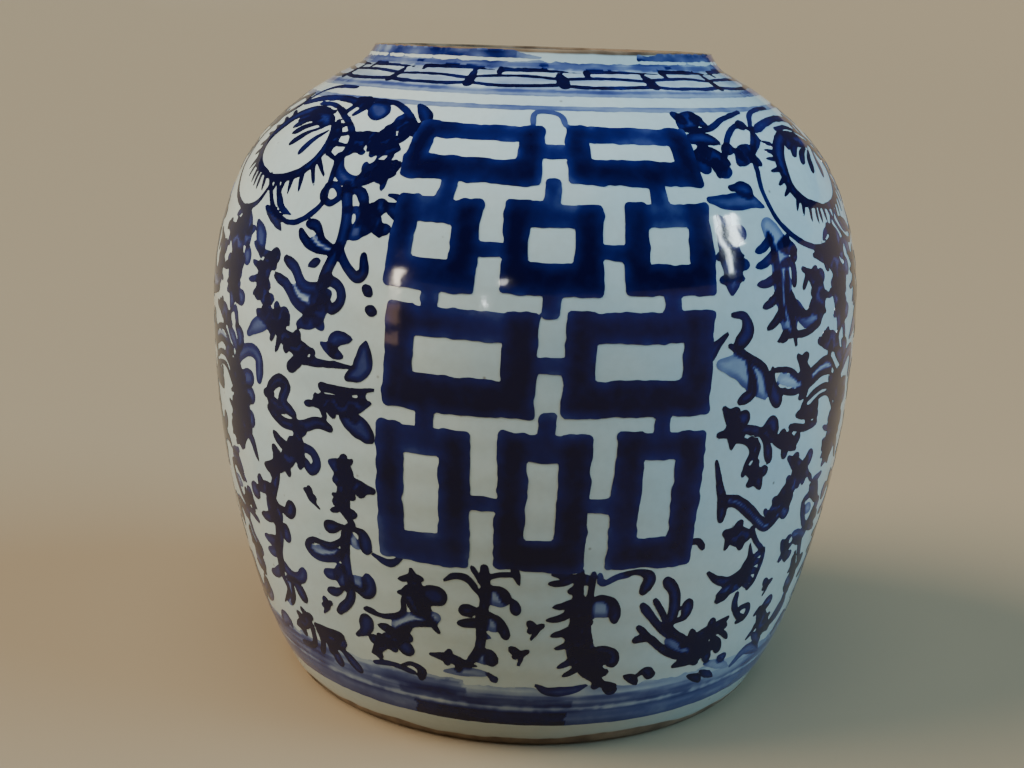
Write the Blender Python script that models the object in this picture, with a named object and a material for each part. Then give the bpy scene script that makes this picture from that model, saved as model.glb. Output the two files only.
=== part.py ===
"""Blue and white ginger jar, without its lid, as the fired clay sections a potter lutes together.

The jar is a turned shape about the Z axis and stands on its foot at z = 0. Each section is a ring cut
from one smooth wall, and neighbouring sections meet across a thin layer of luting slip. Units are metres.
"""

import math

import bmesh
import bpy
import numpy as np

MM = 0.001

# Overall form: (height, outer radius) of the turned outline, foot to shoulder.
OUTLINE_MM = (
    (0, 83.5),
    (12, 90),
    (32, 97.5),
    (60, 104.5),
    (92, 109.3),
    (118, 110.5),
    (146, 109.2),
    (168, 103),
    (184, 94),
    (196, 81.5),
    (204, 69.8),
    (210, 58.5),
)
JAR_HEIGHT = 215 * MM
WALL_AT_FOOT = 7.5 * MM
WALL_AT_SHOULDER = 5.5 * MM

# Where the sections meet, as heights of the outer surface.
FOOT_TOP = 6.5 * MM
WAIST = 112 * MM
NECK_JOINT = 208.4 * MM

# Foot ring and floor.
FOOT_INNER_RADIUS = 71.5 * MM
FOOT_CHAMFER = 1.2 * MM
FLOOR_RADIUS = 79.8 * MM
FLOOR_THICKNESS = 6 * MM
FLOOR_DISH = 1 * MM
FLOOR_CORNER = 2 * MM
WALL_STRAIGHT_TOP = 15 * MM

# Neck collar.
COLLAR_BASE_RADIUS = 59.2 * MM
COLLAR_BASE_HEIGHT = 209.6 * MM
LIP_OUTER_RADIUS = 56.8 * MM
LIP_INNER_RADIUS = 51.5 * MM
LIP_ROUNDING = 1.1 * MM
THROAT_DEPTH = 7 * MM

# Luting slip between two sections, and the clearance on each of its faces.
SLIP_THICKNESS = 1 * MM
SLIP_RIDGE = 1.4 * MM
GAP = 0.3 * MM

SEGMENTS = 60
OUTLINE_SAMPLES = 400
SHARP_EDGE_ANGLE = math.radians(40)

GLAZE_WHITE = (0.62, 0.66, 0.62, 1.0)
BARE_CLAY = (0.20, 0.13, 0.08, 1.0)
SLIP_CLAY = (0.45, 0.38, 0.30, 1.0)


def natural_spline(knots):
    """Return the natural cubic spline through (x, y) pairs as a function of x."""
    x, y = np.array(knots, dtype=float).T
    gap = np.diff(x)
    matrix = np.eye(len(x))
    right = np.zeros(len(x))
    for i in range(1, len(x) - 1):
        matrix[i, i - 1:i + 2] = gap[i - 1], 2 * (gap[i - 1] + gap[i]), gap[i]
        right[i] = 6 * ((y[i + 1] - y[i]) / gap[i] - (y[i] - y[i - 1]) / gap[i - 1])
    bend = np.linalg.solve(matrix, right)

    def value(at):
        i = np.clip(np.searchsorted(x, at) - 1, 0, len(gap) - 1)
        before, after, width = at - x[i], x[i + 1] - at, gap[i]
        curved = (bend[i] * after**3 + bend[i + 1] * before**3) / (6 * width)
        start = (y[i] / width - bend[i] * width / 6) * after
        end = (y[i + 1] / width - bend[i + 1] * width / 6) * before
        return curved + start + end

    return value


class Wall:
    """The jar's wall, followed by the distance walked along its outer surface from the foot."""

    def __init__(self, knots):
        radius_at = natural_spline(knots)
        self.height = np.linspace(knots[0][0], knots[-1][0], OUTLINE_SAMPLES)
        self.radius = radius_at(self.height)
        steps = np.hypot(np.diff(self.height), np.diff(self.radius))
        self.walked = np.concatenate(([0.0], np.cumsum(steps)))

    def walk_to(self, height):
        """Distance along the outer surface at which it reaches a height."""
        return float(np.interp(height, self.height, self.walked))

    def outer(self, walked):
        """Outer (radius, height) at a distance along the surface."""
        radius = np.interp(walked, self.walked, self.radius)
        height = np.interp(walked, self.walked, self.height)
        return float(radius), float(height)

    def thickness(self, walked):
        """Wall thickness, thinning evenly from the foot to the shoulder."""
        return float(np.interp(walked, (0, self.walked[-1]), (WALL_AT_FOOT, WALL_AT_SHOULDER)))

    def inward(self, walked, depth):
        """(radius, height) of the point a given depth below the outer surface."""
        reach = 1 * MM
        low, high = self.outer(walked - reach), self.outer(walked + reach)
        along = math.hypot(high[0] - low[0], high[1] - low[1])
        across = ((high[1] - low[1]) / along, (low[0] - high[0]) / along)
        radius, height = self.outer(walked)
        return radius - depth * across[0], height - depth * across[1]

    def inner(self, walked, ridge=0.0):
        """Inner (radius, height) opposite a distance along the outer surface."""
        return self.inward(walked, self.thickness(walked) + ridge)


def arc(centre, radius, start, end, steps):
    """Points of a circular arc in the (radius, height) plane, angles in degrees."""
    angles = np.radians(np.linspace(start, end, steps))
    return [(centre[0] + radius * math.cos(a), centre[1] + radius * math.sin(a)) for a in angles]


def make_material(name, color, roughness):
    """A plain Principled material."""
    material = bpy.data.materials.new(name)
    material.use_nodes = True
    shader = material.node_tree.nodes["Principled BSDF"]
    shader.inputs["Base Color"].default_value = color
    shader.inputs["Roughness"].default_value = roughness
    shader.inputs["Metallic"].default_value = 0.0
    return material


def turned(name, profile, color, roughness):
    """Turn a closed (radius, height) profile about the Z axis into one solid object.

    The profile runs up the outer side and down the inner side. Points on the axis become one vertex.
    """
    mesh = bmesh.new()
    rings = []
    for radius, height in profile:
        if radius == 0:
            rings.append([mesh.verts.new((0, 0, height))] * SEGMENTS)
            continue
        turn = 2 * math.pi / SEGMENTS
        rings.append([
            mesh.verts.new((radius * math.cos(turn * i), radius * math.sin(turn * i), height))
            for i in range(SEGMENTS)
        ])
    for lower, upper in zip(rings, rings[1:] + rings[:1]):
        for i in range(SEGMENTS):
            j = (i + 1) % SEGMENTS
            corners = list(dict.fromkeys((lower[i], lower[j], upper[j], upper[i])))
            if len(corners) > 2:
                mesh.faces.new(corners)
    data = bpy.data.meshes.new(name)
    mesh.to_mesh(data)
    mesh.free()
    data.shade_smooth()
    data.set_sharp_from_angle(angle=SHARP_EDGE_ANGLE)
    data.materials.append(make_material(name + "_finish", color, roughness))
    item = bpy.data.objects.new(name, data)
    bpy.context.collection.objects.link(item)
    return item


def foot_ring(wall):
    """The ring the jar stands on: a flat resting face with a chamfer on each side."""
    outer_edge = wall.outer(0)[0]
    top_edge = wall.outer(wall.walk_to(FOOT_TOP))[0]
    profile = [
        (outer_edge - FOOT_CHAMFER, 0),
        wall.outer(wall.walk_to(FOOT_CHAMFER)),
        wall.outer(wall.walk_to(FOOT_TOP / 2)),
        (top_edge, FOOT_TOP),
        (FOOT_INNER_RADIUS, FOOT_TOP),
        (FOOT_INNER_RADIUS + FOOT_CHAMFER / 2, FOOT_CHAMFER),
        (FOOT_INNER_RADIUS + 1.5 * FOOT_CHAMFER, 0),
    ]
    turned("foot_ring", profile, BARE_CLAY, 0.85)


def base_floor():
    """The jar's floor: a slightly dished disc that lies on the foot ring inside the lower wall."""
    low = FOOT_TOP + GAP
    high = low + FLOOR_THICKNESS
    profile = [
        (0, low),
        (FLOOR_RADIUS, low),
        (FLOOR_RADIUS, high - FLOOR_CORNER),
        (FLOOR_RADIUS - FLOOR_CORNER, high),
        (FLOOR_RADIUS / 2, high - FLOOR_DISH),
        (0, high - FLOOR_DISH),
    ]
    turned("base_floor", profile, GLAZE_WHITE, 0.35)


def lower_body(wall):
    """The lower half of the wall, from the foot ring to the luted joint at the waist."""
    start, end = wall.walk_to(FOOT_TOP + GAP), wall.walk_to(WAIST)
    inner_start = wall.walk_to(WALL_STRAIGHT_TOP)
    profile = [wall.outer(s) for s in np.linspace(start, end, 9)]
    profile += [wall.inner(s) for s in np.linspace(end, inner_start, 7)]
    profile.append((FLOOR_RADIUS + GAP, FOOT_TOP + GAP))
    turned("lower_body", profile, GLAZE_WHITE, 0.2)


def upper_body(wall):
    """The upper half of the wall and the shoulder, up to the neck joint."""
    start = wall.walk_to(WAIST) + 2 * GAP + SLIP_THICKNESS
    end = wall.walk_to(NECK_JOINT)
    profile = [wall.outer(s) for s in np.linspace(start, end, 13)]
    profile += [wall.inner(s) for s in np.linspace(end, start, 10)]
    turned("upper_body", profile, GLAZE_WHITE, 0.2)


def slip_band(name, wall, start):
    """A layer of luting slip across the wall, squeezed out as a low rounded ridge inside the jar."""
    low, high = start + GAP, start + GAP + SLIP_THICKNESS
    middle = (low + high) / 2
    profile = [wall.outer(low), wall.outer(high), wall.inner(high), wall.inner(middle, SLIP_RIDGE), wall.inner(low)]
    turned(name, profile, SLIP_CLAY, 0.8)


def neck_collar(wall):
    """The low tapered collar that the lid drops over, with a rounded lip and an open throat."""
    start = wall.walk_to(NECK_JOINT) + 2 * GAP + SLIP_THICKNESS
    corner_height = JAR_HEIGHT - LIP_ROUNDING
    outer_corner = (LIP_OUTER_RADIUS - LIP_ROUNDING, corner_height)
    inner_corner = (LIP_INNER_RADIUS + LIP_ROUNDING, corner_height)
    profile = [wall.outer(start), (COLLAR_BASE_RADIUS, COLLAR_BASE_HEIGHT)]
    profile += arc(outer_corner, LIP_ROUNDING, 0, 90, 4)
    profile += arc(inner_corner, LIP_ROUNDING, 90, 180, 4)
    profile += [(LIP_INNER_RADIUS, JAR_HEIGHT - THROAT_DEPTH), wall.inner(start)]
    turned("neck_collar", profile, GLAZE_WHITE, 0.25)


def main():
    for item in list(bpy.data.objects):
        bpy.data.objects.remove(item, do_unlink=True)
    wall = Wall([(height * MM, radius * MM) for height, radius in OUTLINE_MM])
    foot_ring(wall)
    base_floor()
    lower_body(wall)
    slip_band("waist_slip_band", wall, wall.walk_to(WAIST))
    upper_body(wall)
    slip_band("neck_slip_band", wall, wall.walk_to(NECK_JOINT))
    neck_collar(wall)


main()
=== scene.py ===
"""Looks of the ginger jar: the fired clay sections, their glaze, and the cobalt painting on them.

Everything on the outside is placed by two surface coordinates. `angle` is in degrees round the jar, 0 at
the front (-Y) and growing towards +X. `walk` is the distance in mm along the outline, from the foot up.
Lengths are in mm until a mesh is made, and in metres from there on.
"""
import math

import bpy
import numpy as np
from mathutils import Matrix, Vector


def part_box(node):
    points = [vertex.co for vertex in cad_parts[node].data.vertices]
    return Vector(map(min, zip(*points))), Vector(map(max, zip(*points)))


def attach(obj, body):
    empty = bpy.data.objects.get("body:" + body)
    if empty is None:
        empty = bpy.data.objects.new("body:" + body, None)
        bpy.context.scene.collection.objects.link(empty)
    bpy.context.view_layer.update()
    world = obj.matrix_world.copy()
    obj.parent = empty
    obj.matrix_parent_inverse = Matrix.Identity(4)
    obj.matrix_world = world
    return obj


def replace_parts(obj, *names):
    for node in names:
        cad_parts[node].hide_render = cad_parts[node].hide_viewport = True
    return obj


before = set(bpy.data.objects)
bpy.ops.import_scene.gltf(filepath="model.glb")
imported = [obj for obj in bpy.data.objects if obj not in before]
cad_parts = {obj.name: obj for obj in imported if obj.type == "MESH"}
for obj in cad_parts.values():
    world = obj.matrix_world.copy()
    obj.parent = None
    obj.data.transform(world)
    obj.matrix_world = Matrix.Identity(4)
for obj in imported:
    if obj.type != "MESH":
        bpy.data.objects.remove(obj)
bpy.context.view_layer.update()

MM = 0.001

# Turned outline, as (height, outer radius): the same driving points as the CAD model.
OUTLINE = (
    (0, 83.5), (12, 90), (32, 97.5), (60, 104.5), (92, 109.3), (118, 110.5),
    (146, 109.2), (168, 103), (184, 94), (196, 81.5), (204, 69.8), (210, 58.5),
)
JAR_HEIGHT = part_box("neck_collar")[1][2] / MM
FOOT_TOP = 6.5
WAIST = 112.0
NECK_JOINT = 208.4
SLIP = 1.2
# Where a slip band's ridge is given, from its top down, as shares of its thickness.
SLIP_SHARES = (1, 0.9, 0.5, 0.1, 0)
WALL_AT_FOOT, WALL_AT_SHOULDER = 7.5, 5.5
FLOOR_RADIUS, FLOOR_THICKNESS = 80.0, 6.0
COLLAR_FOOT = (58.7, 211.0)
LIP_OUTER, LIP_INNER, LIP_ROUNDING = 56.8, 51.5, 1.1
FOOT_INNER, FOOT_ROUNDING = 71.5, 1.4

# The outline stops at OUTLINE_TOP and turns into the collar round COLLAR_CORNER. The throat is cut below it.
OUTLINE_TOP = 208.8
COLLAR_CORNER = (59.4, 210.2)
THROAT = ((LIP_INNER, 211), (LIP_INNER + 0.2, 208.4), (LIP_INNER + 1.4, 206.2))

SEGMENTS = 288
SHARP_ANGLE = math.radians(38)
# Paint layers lie this far above the glaze, one above the next, and reach this far into it.
PAINT_LIFT = 0.05
LAYER_LIFT = 0.04
PAINT_DEPTH = 0.15


# ---------------------------------------------------------------------------------------------- outline


def natural_spline(knots):
    """Return the natural cubic spline through (x, y) pairs as a function of x."""
    x, y = np.array(knots, dtype=float).T
    gap = np.diff(x)
    matrix = np.eye(len(x))
    right = np.zeros(len(x))
    for i in range(1, len(x) - 1):
        matrix[i, i - 1:i + 2] = gap[i - 1], 2 * (gap[i - 1] + gap[i]), gap[i]
        right[i] = 6 * ((y[i + 1] - y[i]) / gap[i] - (y[i] - y[i - 1]) / gap[i - 1])
    bend = np.linalg.solve(matrix, right)

    def value(at):
        i = np.clip(np.searchsorted(x, at) - 1, 0, len(gap) - 1)
        before, after, width = at - x[i], x[i + 1] - at, gap[i]
        curved = (bend[i] * after**3 + bend[i + 1] * before**3) / (6 * width)
        start = (y[i] / width - bend[i] * width / 6) * after
        end = (y[i + 1] / width - bend[i + 1] * width / 6) * before
        return curved + start + end

    return value


def arc(centre, radius, start, end, steps):
    """Points of a circular arc in the (radius, height) plane, angles in degrees."""
    turn = np.radians(np.linspace(start, end, steps))
    return np.stack([centre[0] + radius * np.cos(turn), centre[1] + radius * np.sin(turn)], 1)


def outer_path():
    """Dense (radius, height) points up the outside, from the foot over the shoulder to the lip's top."""
    height = np.linspace(0, OUTLINE_TOP, 700)
    body = np.stack([natural_spline(OUTLINE)(height), height], 1)
    start, end, corner = body[-1], np.array(COLLAR_FOOT), np.array(COLLAR_CORNER)
    t = np.linspace(0, 1, 12)[1:, None]
    fillet = (1 - t) ** 2 * start + 2 * t * (1 - t) * corner + t**2 * end
    rim = arc((LIP_OUTER - LIP_ROUNDING, JAR_HEIGHT - LIP_ROUNDING), LIP_ROUNDING, 5, 90, 8)
    return np.concatenate([body, fillet, rim])


PATH = outer_path()
PATH_WALK = np.concatenate(([0.0], np.cumsum(np.hypot(*np.diff(PATH, axis=0).T))))
LIP_WALK = PATH_WALK[-1]


def walk_to(height):
    """Distance along the outline at which it reaches a height."""
    return float(np.interp(height, PATH[:, 1], PATH_WALK))


def path_radius(walk):
    """Outer radius at a walk."""
    return np.interp(walk, PATH_WALK, PATH[:, 0])


def path_frame(walk):
    """Radius, height and outward normal (radial, vertical) of the outline at a walk."""
    reach = 0.4
    low, high = np.clip(walk - reach, 0, LIP_WALK), np.clip(walk + reach, 0, LIP_WALK)
    radial = path_radius(high) - path_radius(low)
    rise = np.interp(high, PATH_WALK, PATH[:, 1]) - np.interp(low, PATH_WALK, PATH[:, 1])
    length = np.hypot(radial, rise)
    return path_radius(walk), np.interp(walk, PATH_WALK, PATH[:, 1]), rise / length, -radial / length


def ripple(angle, walk):
    """How far the thrown surface stands off the outline: soft throwing rings and a slightly uneven pull."""
    turn = np.radians(angle)
    rings = 0.07 * np.sin(2 * math.pi * walk / 11.0 + turn) * (0.6 + 0.4 * np.sin(3 * turn + walk / 37))
    pull = 0.16 * np.sin(2 * turn + walk / 45) + 0.10 * np.sin(5 * turn - walk / 29 + 1.1)
    fade = np.clip(walk / 12, 0, 1) * np.clip((LIP_WALK - walk) / 12, 0, 1)
    return (rings + pull) * fade


def place(radius, height, angle):
    """World point in metres for a radius and height in mm at an angle."""
    turn = np.radians(angle)
    return np.stack([radius * np.sin(turn), -radius * np.cos(turn), height + 0 * turn], -1) * MM


def surface(angle, walk, lift=0.0):
    """Point on the jar's outside, lifted off it along its normal."""
    radius, height, out, up = path_frame(walk)
    stand = ripple(angle, walk) + lift
    return place(radius + out * stand, height + up * stand, angle)


def surface_normal(angle, walk):
    """Unit normal of the jar's outside."""
    step = 0.4
    round_it = surface(angle + step, walk) - surface(angle - step, walk)
    up_it = surface(angle, np.minimum(walk + step, LIP_WALK)) - surface(angle, np.maximum(walk - step, 0))
    normal = np.cross(round_it, up_it)
    return normal / np.linalg.norm(normal, axis=-1, keepdims=True)


# -------------------------------------------------------------------------------------- clay sections


def link(name, mesh, material):
    """Put a mesh in the scene as a piece that rides on the jar."""
    mesh.materials.append(material)
    piece = bpy.data.objects.new(name, mesh)
    bpy.context.collection.objects.link(piece)
    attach(piece, "root")
    return piece


def lathe(name, stations, material):
    """A closed turned solid. Each station is (points of one ring, exact normals or None).

    A station whose points are a single row lies on the axis.
    """
    vertices, rings = [], []
    for points, _ in stations:
        first = len(vertices)
        vertices.extend(points.tolist())
        rings.append([first] * SEGMENTS if len(points) == 1 else list(range(first, first + SEGMENTS)))
    faces = []
    for here, there in zip(rings, rings[1:] + rings[:1]):
        for i in range(SEGMENTS):
            j = (i + 1) % SEGMENTS
            corners = list(dict.fromkeys((here[i], here[j], there[j], there[i])))
            if len(corners) > 2:
                faces.append(corners)
    mesh = bpy.data.meshes.new(name)
    mesh.from_pydata(vertices, [], faces)
    mesh.shade_smooth()
    mesh.set_sharp_from_angle(angle=SHARP_ANGLE)
    known = np.zeros((len(vertices), 3))
    for ring, (_, normals) in zip(rings, stations):
        if normals is not None:
            known[ring] = normals
    outside = np.linalg.norm(known, axis=1) > 0.5
    loops = np.zeros((len(mesh.loops), 3))
    for polygon in mesh.polygons:
        corners = list(polygon.vertices)
        if outside[corners].all():
            span = slice(polygon.loop_start, polygon.loop_start + polygon.loop_total)
            loops[span] = known[corners]
    mesh.normals_split_custom_set(loops.tolist())
    return link(name, mesh, material)


RING_ANGLES = np.arange(SEGMENTS) * 360.0 / SEGMENTS


def outer_stations(start, end, spacing=2.0):
    """Rings up the outside, with exact normals, from one walk to another."""
    stations = []
    for walk in np.linspace(start, end, max(2, int(round((end - start) / spacing)) + 1)):
        walks = walk + 0 * RING_ANGLES
        stations.append((surface(RING_ANGLES, walks), surface_normal(RING_ANGLES, walks)))
    return stations


def inner_ring(walk, ridge=0.0):
    """Ring on the inside opposite a walk, with the throwing rings a potter's fingers leave."""
    radius, height, out, up = path_frame(walk)
    wall = np.interp(walk, (0, walk_to(210)), (WALL_AT_FOOT, WALL_AT_SHOULDER)) + ridge
    turn = np.radians(RING_ANGLES)
    marks = 0.35 * np.sin(2 * math.pi * walk / 8.5 + turn) + 0.2 * np.sin(3 * turn + walk / 20)
    fade = np.clip((walk - 14) / 12, 0, 1) * np.clip((228 - walk) / 10, 0, 1)
    wall = wall + marks * fade
    return place(radius - out * wall, height - up * wall, RING_ANGLES)


def inner_stations(start, end, spacing=2.4):
    """Rings down the inside, from one walk to a lower one."""
    count = max(2, int(round((start - end) / spacing)) + 1)
    return [(inner_ring(walk), None) for walk in np.linspace(start, end, count)]


def slip_stations(start, ridges):
    """A band of slip from a walk up, squeezed out inside as a low ridge."""
    inside = [(inner_ring(start + SLIP * share, ridge), None) for share, ridge in zip(SLIP_SHARES, ridges)]
    return outer_stations(start, start + SLIP, 0.6) + inside


def plain_stations(profile):
    """Rings at plain (radius, height) points."""
    return [(place(radius, height, RING_ANGLES), None) for radius, height in profile]


def axis_station(height):
    """The one point where the axis is at a height."""
    return np.array([[0, 0, height * MM]]), None


def make_sections(glaze, clay, lip):
    """The seven clay sections, glazed outside and in, meeting face to face."""
    foot, waist, neck = walk_to(FOOT_TOP), walk_to(WAIST), walk_to(NECK_JOINT)

    # Foot ring: bare, rounded resting edge, with the glaze line just above it.
    edge = path_radius(0)
    round_out = arc((edge - FOOT_ROUNDING, FOOT_ROUNDING), FOOT_ROUNDING, 270, 340, 6)
    round_in = arc((FOOT_INNER + 2.2, FOOT_ROUNDING), FOOT_ROUNDING, 200, 270, 6)
    stations = plain_stations(round_out) + outer_stations(2.2, foot, 0.8)
    stations += plain_stations([(FOOT_INNER, FOOT_TOP), (FOOT_INNER + 0.3, 3.5), *round_in])
    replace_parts(lathe("foot_ring_clay", stations, clay), "foot_ring")

    # Floor: turned underneath, with thrown rings on its dished top.
    top = FOOT_TOP + FLOOR_THICKNESS
    under = [(r, FOOT_TOP + 0.12 * math.sin(r * 1.9)) for r in np.linspace(2, FLOOR_RADIUS - 4, 40)]
    over = []
    for r in np.linspace(78, 2, 48):
        over.append((r, top - 1.0 * (1 - (r / FLOOR_RADIUS) ** 4) + 0.3 * math.sin(r * 0.8)))
    stations = plain_stations([(FLOOR_RADIUS, FOOT_TOP), (FLOOR_RADIUS, top - 1.5), *over])
    stations += [axis_station(top - 1.0), axis_station(FOOT_TOP)] + plain_stations(under)
    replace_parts(lathe("base_floor_clay", stations, glaze), "base_floor")

    # The two halves of the wall and the slip between them.
    straight = plain_stations([(82.4, 12.6), (FLOOR_RADIUS + 0.05, FOOT_TOP)])
    stations = outer_stations(foot, waist) + inner_stations(waist, walk_to(17)) + straight
    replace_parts(lathe("lower_body_clay", stations, glaze), "lower_body")
    stations = slip_stations(waist, (0, 0.9, 1.4, 0.9, 0))
    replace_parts(lathe("waist_slip_band_clay", stations, glaze), "waist_slip_band")
    stations = outer_stations(waist + SLIP, neck) + inner_stations(neck, waist + SLIP)
    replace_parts(lathe("upper_body_clay", stations, glaze), "upper_body")
    stations = slip_stations(neck, (0, 0.7, 1.1, 0.7, 0))
    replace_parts(lathe("neck_slip_band_clay", stations, glaze), "neck_slip_band")

    # Collar: glazed outside, bare rounded lip, open throat.
    inner_lip = arc((LIP_INNER + LIP_ROUNDING, JAR_HEIGHT - LIP_ROUNDING), LIP_ROUNDING, 90, 180, 8)
    stations = outer_stations(neck + SLIP, LIP_WALK, 0.4)
    stations += plain_stations([*inner_lip, *THROAT]) + [(inner_ring(neck + SLIP), None)]
    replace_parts(lathe("neck_collar_clay", stations, lip), "neck_collar")


# --------------------------------------------------------------------------------------- paint as fields

COLUMNS = 936
ROW_STEP = 0.75
ROWS = int(LIP_WALK / ROW_STEP) + 1
COLUMN_STEP = 360.0 / COLUMNS
GRID_ANGLE = np.arange(COLUMNS) * COLUMN_STEP
GRID_WALK = np.arange(ROWS) * ROW_STEP
GRID_RADIUS = path_radius(GRID_WALK)
MEAN_RADIUS = 105
# Depth of a grid point that is nowhere near any paint, in mm.
FAR = -9.0

# How ragged a mark's edge is, how much its tone varies, and how much thinner it is in its middle.
STROKE_ROUGH, STROKE_STREAK, STROKE_HOLLOW = 0.25, 0.16, 0.20
BAR_ROUGH, BAR_STREAK, BAR_ROUNDING = 0.65, 0.24, 1.4
# Cobalt gathers at a mark's edge, within a fall-off in mm.
EDGE_DARKER, EDGE_FALLOFF = 0.10, 0.7
THICKEST = 0.985


def smoothstep(low, high, value):
    """0 below low, 1 above high, and an even slope between."""
    t = np.clip((value - low) / (high - low), 0, 1)
    return t * t * (3 - 2 * t)


def cloud(across, along, seed):
    """Smooth noise over the grid, -1 to 1, in patches `across` mm wide and `along` mm tall."""
    columns = max(4, int(round(2 * math.pi * MEAN_RADIUS / across)))
    rows = int(LIP_WALK / along) + 3
    values = np.random.default_rng(seed).uniform(-1, 1, (rows, columns))
    x, y = GRID_ANGLE / 360 * columns, GRID_WALK / along
    i, j = np.floor(y).astype(int), np.floor(x).astype(int)
    u, v = smoothstep(0, 1, x - j)[None, :], smoothstep(0, 1, y - i)[:, None]
    j, k = j % columns, (j + 1) % columns
    low = values[i][:, j] * (1 - u) + values[i][:, k] * u
    high = values[i + 1][:, j] * (1 - u) + values[i + 1][:, k] * u
    return low * (1 - v) + high * v


EDGE_NOISE = 0.6 * cloud(4.0, 4.0, 11) + 0.4 * cloud(1.8, 1.8, 12)
FLAT_STREAKS = 0.6 * cloud(16, 1.6, 13) + 0.4 * cloud(30, 4.0, 14)
TALL_STREAKS = 0.6 * cloud(1.6, 16, 15) + 0.4 * cloud(4.0, 30, 16)
POOLS = 0.5 * cloud(9, 9, 17) + 0.5 * cloud(20, 20, 18)


def arc_mm(angle, walk):
    """Length in mm of an angle at a walk."""
    return np.radians(angle) * path_radius(walk)


def curve_through(points, spacing=0.9):
    """Points on a smooth curve through given (angle, walk, ...) points, about `spacing` mm apart."""
    points = np.array(points, dtype=float)
    ghost = np.concatenate([[2 * points[0] - points[1]], points, [2 * points[-1] - points[-2]]])
    pieces = []
    for a, b, c, d in zip(ghost, ghost[1:], ghost[2:], ghost[3:]):
        length = math.hypot(arc_mm(c[0] - b[0], c[1]), c[1] - b[1])
        t = np.linspace(0, 1, max(2, int(length / spacing) + 1), endpoint=False)[:, None]
        bend = b * 2 + (c - a) * t + (2 * a - 5 * b + 4 * c - d) * t**2 + (3 * b - a - 3 * c + d) * t**3
        pieces.append(bend / 2)
    return np.concatenate([*pieces, points[-1:]])


# How wide a stroke is along its length, as (share of its length, share of its width).
SHAPES = {
    "even": ((0, 0.75), (0.08, 1), (0.92, 1), (1, 0.75)),
    "leaf": ((0, 0.35), (0.25, 0.8), (0.5, 1), (0.8, 0.7), (1, 0.2)),
    "tail": ((0, 1), (0.5, 0.85), (0.85, 0.5), (1, 0.25)),
    "drop": ((0, 0.3), (0.35, 0.55), (0.7, 1), (0.9, 0.95), (1, 0.6)),
    "finger": ((0, 0.85), (0.5, 1), (0.85, 0.8), (1, 0.4)),
}


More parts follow.
